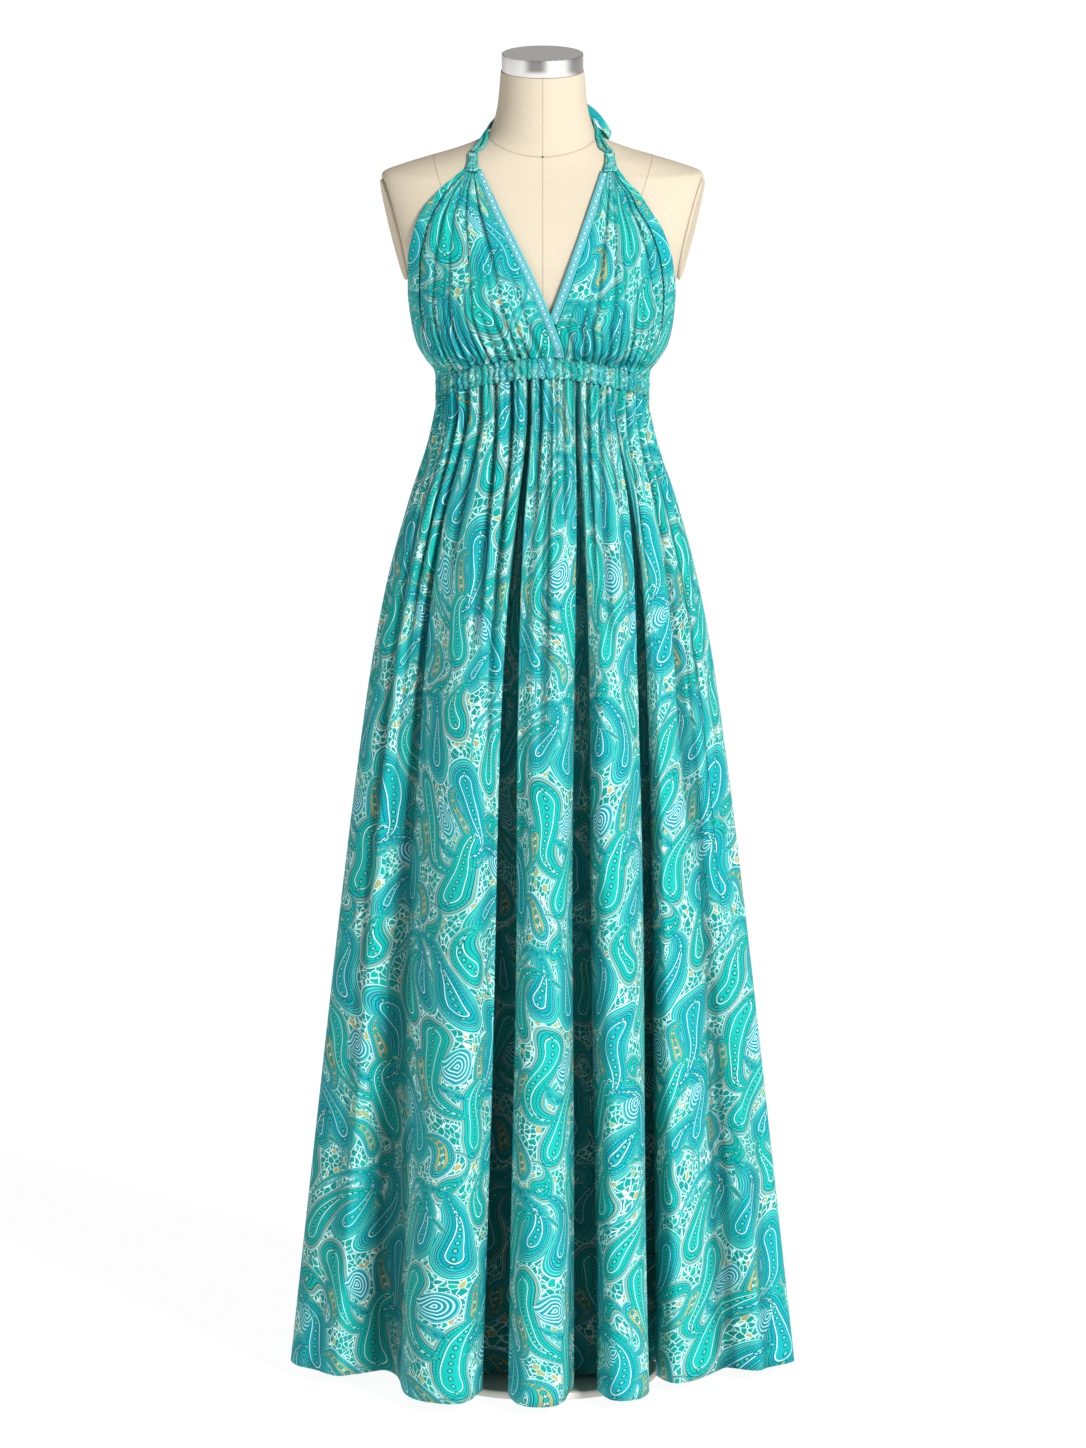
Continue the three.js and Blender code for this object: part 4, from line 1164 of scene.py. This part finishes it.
def bodice_piece(from_x, to_x, foot_at, lift_at):
    """A strip of the bodice between two edges, from the tab's height down to its foot."""
    s = sizes()
    top, waist = s.tab_height, s.waist_height

    def point_at(u, v, height, plain=False):
        start = bodice_angle(from_x(height), height)
        end = bodice_angle(to_x(height), height)
        return bodice_point(start + (end - start) * u, height, 0 * u if plain else lift_at(u, v, height))

    def surface(u, v, plain=False):
        level = waist + 0 * u
        foot = foot_at(from_x(level) * (1 - u) + to_x(level) * u)
        for _ in range(3):
            foot = foot_at(point_at(u, 1 + 0 * v, foot)[..., 0])
        return point_at(u, v, top + (foot - top) * v, plain)

    return surface


def tucked(surface, start=0.93):
    """Draws the foot of a bodice piece in to the band, over the last share of its height."""

    def tucked_surface(u, v):
        s = sizes()
        point = surface(u, v)
        angle = np.arcsin(np.clip(point[..., 0] / (s.waist_half_width + 3), -1, 1))
        edge = np.stack([point[..., 0], -(s.waist_front + 1.5) * np.cos(angle), point[..., 2]], axis=-1)
        foot = surface(u, 1 + 0 * v)
        wave = (foot - surface(u, 1 + 0 * v, plain=True)) * 0.7
        return point + (edge + wave - point) * (0.85 * smooth((v - start) / (1 - start)))[..., None]

    return tucked_surface


def cup_surface(side):
    """Cup: gathers rise from the waist, folds fan down from the tab, and a crease follows the armhole."""
    s = sizes()
    outward = SIDE_SIGN[side]
    gathers = 15 if side == "left" else 13
    gap = s.seam_gap * (1 if side == "left" else 2.5)

    def inner(height):
        return trim_outer_x(side, height) + outward * gap

    def outer(height):
        return arm_x(side, height) - outward * (arm_strip(height) + s.seam_gap)

    def lift(u, v, height):
        across = 1 - u if side == "left" else u
        width = np.abs(outer(height) - inner(height))
        edge = np.minimum(1, np.minimum(across * 9, (1 - across) * 12))
        reach = 0.2 + 0.07 * np.sin(2 * math.pi * gathers * 0.37 * u + 1)
        waist = s.gather_depth * 2.0 * gather_wave(u, gathers) * np.exp(-(1 - v) / reach)
        pinch = 1.0 * np.cos(2 * math.pi * gathers * 2.3 * u + 2 * np.sin(11 * u)) * np.exp(-(1 - v) / 0.07)
        fan_depth = np.minimum(2.1 * s.gather_depth, width / 5 * 0.36)
        fan = fan_depth * gather_wave(u, 5) * np.exp(-v / (0.42 + 0.16 * np.sin(9 * u)))
        drape = 1.1 * np.sin(2 * math.pi * (3.4 * across + 0.7 * v)) * np.sin(v * math.pi) ** 2
        crease_depth = np.minimum(2.4, width * 0.05) * np.minimum(1, (1 - v) * 6)
        crease = crease_depth * bump(across, 1, 0.07)
        return (waist + fan + pinch + drape) * edge - crease

    start, end = (outer, inner) if side == "left" else (inner, outer)
    return tucked(bodice_piece(start, end, band_top_at, lift))


def armhole_surface(side):
    outward = SIDE_SIGN[side]

    def inner(height):
        return arm_x(side, height) - outward * arm_strip(height)

    def outer(height):
        return arm_x(side, height)

    start, end = (outer, inner) if side == "left" else (inner, outer)
    return tucked(bodice_piece(start, end, band_top_at, lambda u, v, height: 0.4 * np.sin(u * math.pi)))


def trim_surface(side):
    """Neck trim: the left one runs to the waist, and the right one stops behind it at the V's foot."""
    s = sizes()

    def puff(u, v, height):
        return 0.3 + 0.5 * np.sin(u * math.pi)

    def outer(height):
        return trim_outer_x("left", height)

    def inner(height):
        return neck_x("left", height)

    def right_inner(height):
        return np.maximum(neck_x("right", height), neck_x("left", height) + s.seam_gap)

    def right_outer(height):
        return neck_x("right", height) + trim_at(height)

    def foot(x):
        return s.vee_height - 8 + 0 * x

    if side == "left":
        return tucked(bodice_piece(outer, inner, band_top_at, puff))
    return bodice_piece(right_inner, right_outer, foot, puff)


# Shape of the form


# The plane that cuts an arm off: its distance, its slope up and backwards, and its middle's height
ARM_CUT = {"out": 169.8, "slope": 0.2375, "turn": 0.14, "height": 1358}


def form_point(angle, height, out=0.0):
    """Point of the form, stood off by out, with the arms cut flat."""
    half, front, back, square, lean, tilt = FORM.section("height", height)
    x, y = oval(angle, half + out, front + out, back + out, square)
    cut = ARM_CUT["out"] + ARM_CUT["slope"] * (height - ARM_CUT["height"]) + ARM_CUT["turn"] * y + out
    x = np.clip(x, -cut, cut)
    return np.stack([x, y - lean, height + y * np.tan(tilt * DEGREE)], axis=-1)


def capped(points):
    """Closes a tube of rings with a point in the middle of each end."""
    ends = [np.repeat(points[[i]].mean(axis=1, keepdims=True), points.shape[1], axis=1) for i in (0, -1)]
    return np.concatenate([ends[0], points, ends[1]], axis=0)


def tube_piece(name, points, finish):
    """A closed body from rings of points in millimetres, which run from top to bottom."""
    points = capped(points)
    around = lengths(points, 1)
    along = lengths(points, 0)
    mesh = mesh_from_grid(name, points, around, -along, closed=True)
    piece = put(name, mesh, finish)
    close_ends(piece)
    return piece


def close_ends(piece):
    """Merges the rings' shared points and turns the faces outwards."""
    shape = bmesh.new()
    shape.from_mesh(piece.data)
    bmesh.ops.remove_doubles(shape, verts=shape.verts, dist=1e-6)
    bmesh.ops.dissolve_degenerate(shape, edges=shape.edges, dist=1e-7)
    bmesh.ops.recalc_face_normals(shape, faces=shape.faces)
    shape.to_mesh(piece.data)
    shape.free()


def sharpen(piece, angle=50):
    """Keeps edges sharper than angle crisp."""
    piece.data.set_sharp_from_angle(angle=angle * DEGREE)


# Pieces


# Faces across and down each sheet
SKIRT_GRID = (460, 90)
BAND_GRID = (360, 24)
CUP_GRID = (180, 110)
ARM_GRID = (14, 90)
TRIM_GRID = (12, 90)


class DRESS_OT_skirt(bpy.types.Operator):
    """Front and back of the skirt, gathered at the waist and falling in deep folds"""

    bl_idname = "dress.skirt"
    bl_label = "Skirt"

    def execute(self, context):
        for half, finish in (("front", "skirt"), ("back", "skirt_back")):
            piece, points = cloth_piece(
                f"skirt_{half}", SkirtHalf(half), SKIRT_GRID, finish, top_dense=1.25, gathered=0.5
            )
        return {"FINISHED"}


class DRESS_OT_band(bpy.types.Operator):
    """Elastic band round the waist, front and back"""

    bl_idname = "dress.band"
    bl_label = "Waist band"

    def execute(self, context):
        for half in ("front", "back"):
            piece, points = cloth_piece(f"waist_band_{half}", BandHalf(half), BAND_GRID, "band")
        return {"FINISHED"}


class DRESS_OT_cups(bpy.types.Operator):
    """Gathered cups with their armhole bands"""

    bl_idname = "dress.cups"
    bl_label = "Cups"

    def execute(self, context):
        for side, neck_edge, arm_edge in (("left", 1.0, 0), ("right", 0.0, -1)):
            cup = cup_surface(side)
            piece, points = cloth_piece(
                f"cup_{side}", cup, CUP_GRID, "bodice", middle=neck_edge, gathered=0.5, creased=arm_edge
            )
            band, points = cloth_piece(f"armhole_band_{side}", armhole_surface(side), ARM_GRID, "bodice")
        return {"FINISHED"}


class DRESS_OT_trims(bpy.types.Operator):
    """Border print along the V neck"""

    bl_idname = "dress.trims"
    bl_label = "Neck trims"

    def execute(self, context):
        for side in SIDE_SIGN:
            piece, points = cloth_piece(
                f"neck_trim_{side}", trim_surface(side), TRIM_GRID, "border", middle=0.0
            )
        return {"FINISHED"}


# Neck tab from its foot to its top, and the pleats round it
TAB_SIZES = Table(
    ("share", "half_width", "half_depth"),
    (0, 9.6, 2.1),
    (0.3, 7.6, 2.8),
    (0.65, 6.4, 2.8),
    (1, 6.2, 2.4),
)
TAB_PLEATS = 11


class DRESS_OT_tabs(bpy.types.Operator):
    """Neck tabs, where each cup's cloth is pinched to a bundle"""

    bl_idname = "dress.tabs"
    bl_label = "Neck tabs"

    def execute(self, context):
        s = sizes()
        for side, outward in SIDE_SIGN.items():
            angle0 = STRAPS[side]["angle"][0] * DEGREE
            end = STRAPS[side]["height"][0] + 1.2
            bottom = s.tab_height + s.seam_gap
            foot = (arm_x(side, s.tab_height) + neck_x(side, s.tab_height)) / 2
            foot_centre = bodice_point(bodice_angle(foot, s.tab_height), s.tab_height, 3.2)
            top_centre = form_point(angle0, end, 4.3)
            out = unit(np.array([math.sin(angle0) * 0.8, -1, 0.35]))
            wide = unit(np.array([1, outward * 0.62, 0]))
            steps = np.linspace(1, 0, 15)
            half_width = TAB_SIZES.at("share", steps, "half_width")
            half_depth = TAB_SIZES.at("share", steps, "half_depth")
            turn = full_turn(72)
            pleat = 1 + 0.10 * np.cos(TAB_PLEATS * turn)
            centre = foot_centre + (top_centre - foot_centre) * steps[:, None]
            centre[:, 2] = bottom - 2 + (end - bottom + 2) * steps
            rings = (
                centre[:, None]
                + (half_width[:, None] * np.cos(turn) * pleat)[..., None] * wide
                - (half_depth[:, None] * np.sin(turn) * pleat)[..., None] * out
            )
            rings[-1, :, 2] = bottom - 2
            tube_piece(f"neck_tab_{side}", rings, "strap")
        return {"FINISHED"}


# One strand of a strap: how far its middle is off the form, and its half width and depth
STRAND = {"off": 2.7, "half_width": 2.5, "half_depth": 1.7}


def strand_rings(side, place, corners=20, stops=70):
    """Rings of one strand: the strap's route on the form, moved aside over its surface."""
    path = STRAPS[side]
    last = len(path["row"]) - 1
    step = 0.01

    def route(share):
        row = np.clip(share, 0, 1) * last
        return path.at("row", row, "angle") * DEGREE, path.at("row", row, "height")

    share = np.linspace(1, 0, stops)
    angle, height = route(share)
    along = unit(form_point(*route(share + step)) - form_point(*route(share - step)))
    here = form_point(angle, height)
    turned = (form_point(angle + step, height) - here) / step
    raised = (form_point(angle, height + step) - here) / step
    outside = unit(np.cross(turned, raised))
    across = unit(np.cross(outside, along)) * SIDE_SIGN[side]
    aside = place * path.at("row", share * last, "spread")
    tt, tr, rr = (turned * turned).sum(-1), (turned * raised).sum(-1), (raised * raised).sum(-1)
    at, ar = (across * turned).sum(-1), (across * raised).sum(-1)
    whole = tt * rr - tr * tr
    turn_by = aside * (at * rr - ar * tr) / whole
    rise_by = aside * (ar * tt - at * tr) / whole
    middle = form_point(angle + turn_by, height + rise_by) + outside * STRAND["off"]
    turn = full_turn(corners)
    swell = 1 + 0.05 * np.sin(share * 60 + place)
    return (
        middle[:, None]
        + (swell[:, None] * STRAND["half_width"] * np.cos(turn))[..., None] * across[:, None]
        + (swell[:, None] * STRAND["half_depth"] * np.sin(turn))[..., None] * outside[:, None]
    )


def smooth_path(points, stops):
    """Points along a curve through the given ones, each part a cubic with its neighbours' slope."""
    points = np.array(points, float)
    padded = np.vstack([2 * points[0] - points[1], points, 2 * points[-1] - points[-2]])
    share = np.linspace(0, len(points) - 1 - 1e-9, stops)
    i = share.astype(int)
    s = (share - i)[:, None]
    start, end = padded[i + 1], padded[i + 2]
    return hermite(start, (end - padded[i]) / 2, end, (padded[i + 3] - start) / 2, s)


def ribbon_rings(centre, facing, width=10.0, thickness=1.6, corners=24):
    """Rings of a folded ribbon, whose long edges are round."""
    along = unit(np.gradient(centre, axis=0))
    out = unit(facing - along * (along * facing).sum(-1, keepdims=True))
    across = np.cross(along, out)
    turn = full_turn(corners)
    wide = np.sign(np.cos(turn)) * np.abs(np.cos(turn)) ** 0.5 * width / 2
    deep = np.sign(np.sin(turn)) * np.abs(np.sin(turn)) ** 0.7 * thickness / 2
    return centre[:, None] + wide[:, None] * across[:, None] + deep[:, None] * out[:, None]


class DRESS_OT_straps(bpy.types.Operator):
    """Two strands on each side, round the neck"""

    bl_idname = "dress.straps"
    bl_label = "Straps"

    def execute(self, context):
        for side in SIDE_SIGN:
            for place, word in ((-1, "lower"), (1, "upper")):
                tube_piece(f"strap_{side}_{word}", strand_rings(side, place), "strap")
        return {"FINISHED"}


KNOT = {"half_width": 7.5, "half_depth": 6.5, "half_height": 8, "behind": 58.7, "height": 1496}


class DRESS_OT_tie(bpy.types.Operator):
    """Knot, bow loops and tails at the back of the neck"""

    bl_idname = "dress.tie"
    bl_label = "Tie"

    def execute(self, context):
        tube_piece("tie_knot", self.knot(), "strap")
        for name, points in BOW_LOOPS.items():
            centre = smooth_path(points, 60)
            along = unit(np.gradient(centre, axis=0))
            wide = unit(np.array([0.25, 0.75, 0.6]))
            wide = wide - along * (along * wide).sum(-1, keepdims=True)
            tube_piece(name, ribbon_rings(centre, np.cross(wide, along)), "strap")
        for name, path in TIE_TAILS.items():
            row = {key: FORM.at("height", path["height"], key) for key in ("half_width", "back", "lean")}
            depth = row["back"] * np.sqrt(1 - (path["x"] / row["half_width"]) ** 2) - row["lean"] + path["out"]
            centre = smooth_path(np.stack([path["x"], depth, path["height"]], axis=-1), 50)
            facing = np.broadcast_to(np.array([0.0, 1.0, 0.0]), centre.shape)
            tube_piece(name, ribbon_rings(centre, facing), "strap")
        return {"FINISHED"}

    def knot(self):
        """Rings of a ball that is cut off above and below, with the wraps of the cloth as waves."""
        level = np.sin(np.linspace(1.05, -1.05, 22))[:, None]
        size = np.sqrt(1 - level**2)
        turn = full_turn(48)
        wrap = 1 + 0.05 * np.sin(9 * level) + 0.03 * np.cos(5 * turn + 6 * level)
        x = KNOT["half_width"] * size * np.cos(turn) * wrap
        y = KNOT["behind"] + KNOT["half_depth"] * size * np.sin(turn) * wrap
        z = KNOT["height"] + KNOT["half_height"] * level + 0 * turn
        return np.stack([x, y, z], axis=-1)


# Arm plate: its half size, and its edge as steps inwards and away from the cut
PLATE_HALF_HEIGHT = 60
PLATE_HALF_WIDTH = 37
PLATE_EDGE = (
    (0.9, 0.3),
    (0.2, 0.5),
    (0, 1.1),
    (0, 2.5),
    (0.25, 3.1),
    (0.9, 3.3),
    (2.6, 3.3),
    (3.2, 2.9),
    (12, 2.9),
)


# How much slimmer than its table the form is where the skirt hides it
SLIM_WAIST = 12
SLIM_HIPS = 14


class DRESS_OT_form(bpy.types.Operator):
    """Limbless form covered in linen, with flat plates at the arms"""

    bl_idname = "dress.form"
    bl_label = "Form"

    def execute(self, context):
        levels = np.concatenate([np.linspace(1543, 1400, 90), np.linspace(1398, 846, 90)])[:, None]
        angle = full_turn(192)

        # The form is slimmer under the skirt, where the furrows run deep
        below_band = waist_centre(angle) + 8 - levels
        hidden = -SLIM_WAIST * smooth(below_band / 26) - SLIM_HIPS * smooth((1100 - levels) / 120)
        sharpen(tube_piece("form_torso", form_point(angle, levels, hidden), "linen"))
        for side, outward in SIDE_SIGN.items():
            sharpen(tube_piece(f"arm_plate_{side}", self.plate(outward), "linen"))
        return {"FINISHED"}

    def plate(self, outward):
        """An oval plate with a rounded rim and a shallow dish."""
        up = np.array([outward * ARM_CUT["slope"], 0, 1])
        back = np.array([outward * ARM_CUT["turn"], 1, 0])
        out = np.array([outward, -ARM_CUT["turn"], -ARM_CUT["slope"]])
        up, back, out = unit(up), unit(back), unit(out)
        turn = full_turn(96)[:, None]
        rings = []
        for inset, away in PLATE_EDGE:
            ring = np.array([outward * ARM_CUT["out"], 0, ARM_CUT["height"]]) + away * out
            ring = ring + (PLATE_HALF_HEIGHT - inset) * np.sin(turn) * up
            ring = ring + (PLATE_HALF_WIDTH - inset) * np.cos(turn) * back
            rings.append(ring)
        return np.array(rings)


# Turned pieces as radius and height: the cap above the neck's top, the pole and the base
CAP_PROFILE = (
    (46.4, 0),
    (46.9, 0.3),
    (47, 0.9),
    (47, 19),
    (46.9, 19.6),
    (46.4, 20),
    (45.6, 20),
    (30, 20),
    (12, 20),
)
POLE_PROFILE = (
    (12, 845.7),
    (29.5, 845.7),
    (30, 845.2),
    (30, 832),
    (13, 828),
    (13, 27),
    (30, 23),
    (30, 9.8),
    (29.5, 9.3),
)
BASE_PROFILE = (
    (60, 9),
    (133, 9),
    (134.4, 8.2),
    (135, 7),
    (135, 0.6),
    (134.4, 0),
    (60, 0),
)
CAP_GAP = 0.3


class DRESS_OT_stand(bpy.types.Operator):
    """Brushed cap on the neck, pole and round base"""

    bl_idname = "dress.stand"
    bl_label = "Cap and stand"

    def execute(self, context):
        lean, tilt = FORM["lean"][-1], math.tan(FORM["tilt"][-1] * DEGREE)
        x, y, z = np.moveaxis(self.turned(CAP_PROFILE), -1, 0)
        cap = np.stack([x, y - lean - z * tilt, FORM["height"][-1] + CAP_GAP + z + y * tilt], axis=-1)
        sharpen(tube_piece("neck_cap", cap, "steel"))
        sharpen(tube_piece("stand_pole", self.turned(POLE_PROFILE), "tube"))
        sharpen(tube_piece("stand_base", self.turned(BASE_PROFILE), "base"))
        return {"FINISHED"}

    def turned(self, profile):
        """Rings of a turned piece from radii and heights."""
        turn = full_turn(128)
        radius, height = np.array(profile, float).T[:, :, None]
        return np.stack([radius * np.cos(turn), radius * np.sin(turn), height + 0 * turn], axis=-1)


# Image height in pixels, half the floor in metres, the sky's light, and each sun's place, power and
# spread in degrees
IMAGE_HEIGHT = 1448
FLOOR_SIZE = 30
SKY_LIGHT = 0.22
LIGHTS = {"key": ((3.6, -5.2, 4.4), 3.8, 16), "fill": ((-5, -4, 2.2), 0.35, 60)}


class DRESS_OT_stage(bpy.types.Operator):
    """Pale floor, soft light and the camera"""

    bl_idname = "dress.stage"
    bl_label = "Stage"

    def execute(self, context):
        scene = context.scene
        self.camera(scene)
        self.floor(scene)
        self.lights(scene)
        scene.view_settings.view_transform = "Standard"
        return {"FINISHED"}

    def camera(self, scene):
        s = studio()
        data = bpy.data.cameras.new("camera")
        data.sensor_fit = "VERTICAL"
        data.sensor_height = 24
        data.lens = s.focal_pixels / IMAGE_HEIGHT * data.sensor_height
        data.clip_end = 100
        camera = bpy.data.objects.new("camera", data)
        back = Vector((0, -math.cos(s.elevation), math.sin(s.elevation)))
        camera.location = Vector((s.aim_side, 0, s.aim_height)) + back * s.distance
        camera.rotation_euler = (math.pi / 2 - s.elevation, 0, 0)
        scene.collection.objects.link(camera)
        scene.camera = camera

    def floor(self, scene):
        mesh = bpy.data.meshes.new("floor")
        corners = [(x * FLOOR_SIZE, y * FLOOR_SIZE, 0) for x, y in ((-1, -1), (1, -1), (1, 1), (-1, 1))]
        mesh.from_pydata(corners, [], [(0, 1, 2, 3)])
        floor = bpy.data.objects.new("floor", mesh)
        scene.collection.objects.link(floor)
        nodes = Nodes("floor")
        glow = {"Emission Color": (1, 1, 1, 1), "Emission Strength": 0.94}
        mesh.materials.append(nodes.finish((0.1, 0.1, 0.1, 1), 0.9, **glow))

    def lights(self, scene):
        world = bpy.data.worlds.new("studio")
        scene.world = world
        world.use_nodes = True
        background = world.node_tree.nodes["Background"]
        background.inputs["Color"].default_value = (1, 1, 1, 1)
        background.inputs["Strength"].default_value = SKY_LIGHT
        for name, (place, power, angle) in LIGHTS.items():
            data = bpy.data.lights.new(name, "SUN")
            data.energy = power
            data.angle = angle * DEGREE
            light = bpy.data.objects.new(name, data)
            light.location = place
            light.rotation_euler = (Vector((0, 0, 0.9)) - light.location).to_track_quat("-Z", "Y").to_euler()
            scene.collection.objects.link(light)


class DRESS_PT_pieces(bpy.types.Panel):
    """Pieces of the dress, its form and the stage"""

    bl_idname = "DRESS_PT_pieces"
    bl_label = "Dress"
    bl_space_type = "VIEW_3D"
    bl_region_type = "UI"
    bl_category = "Dress"

    def draw(self, context):
        for operator in OPERATORS:
            self.layout.operator(operator.bl_idname)
        for group in (sizes(), colours(), studio()):
            box = self.layout.box()
            for name in group.bl_rna.properties.keys():
                if name not in ("rna_type", "name"):
                    box.prop(group, name)


GROUPS = {"dress_sizes": DressSizes, "print_colours": PrintColours, "dress_studio": StudioSizes}
OPERATORS = (
    DRESS_OT_stage,
    DRESS_OT_form,
    DRESS_OT_stand,
    DRESS_OT_skirt,
    DRESS_OT_band,
    DRESS_OT_cups,
    DRESS_OT_trims,
    DRESS_OT_tabs,
    DRESS_OT_straps,
    DRESS_OT_tie,
)


def register():
    for group in (*GROUPS.values(), *OPERATORS, DRESS_PT_pieces):
        bpy.utils.register_class(group)
    for name, group in GROUPS.items():
        setattr(bpy.types.Scene, name, PointerProperty(type=group))


def unregister():
    for name in GROUPS:
        delattr(bpy.types.Scene, name)
    for group in reversed((*GROUPS.values(), *OPERATORS, DRESS_PT_pieces)):
        bpy.utils.unregister_class(group)


def plain(box):
    return [[float(x) for x in corner] for corner in box]


def main():
    register()
    for operator in OPERATORS:
        family, name = operator.bl_idname.split(".")
        getattr(getattr(bpy.ops, family), name)()


if __name__ == "__main__":
    main()
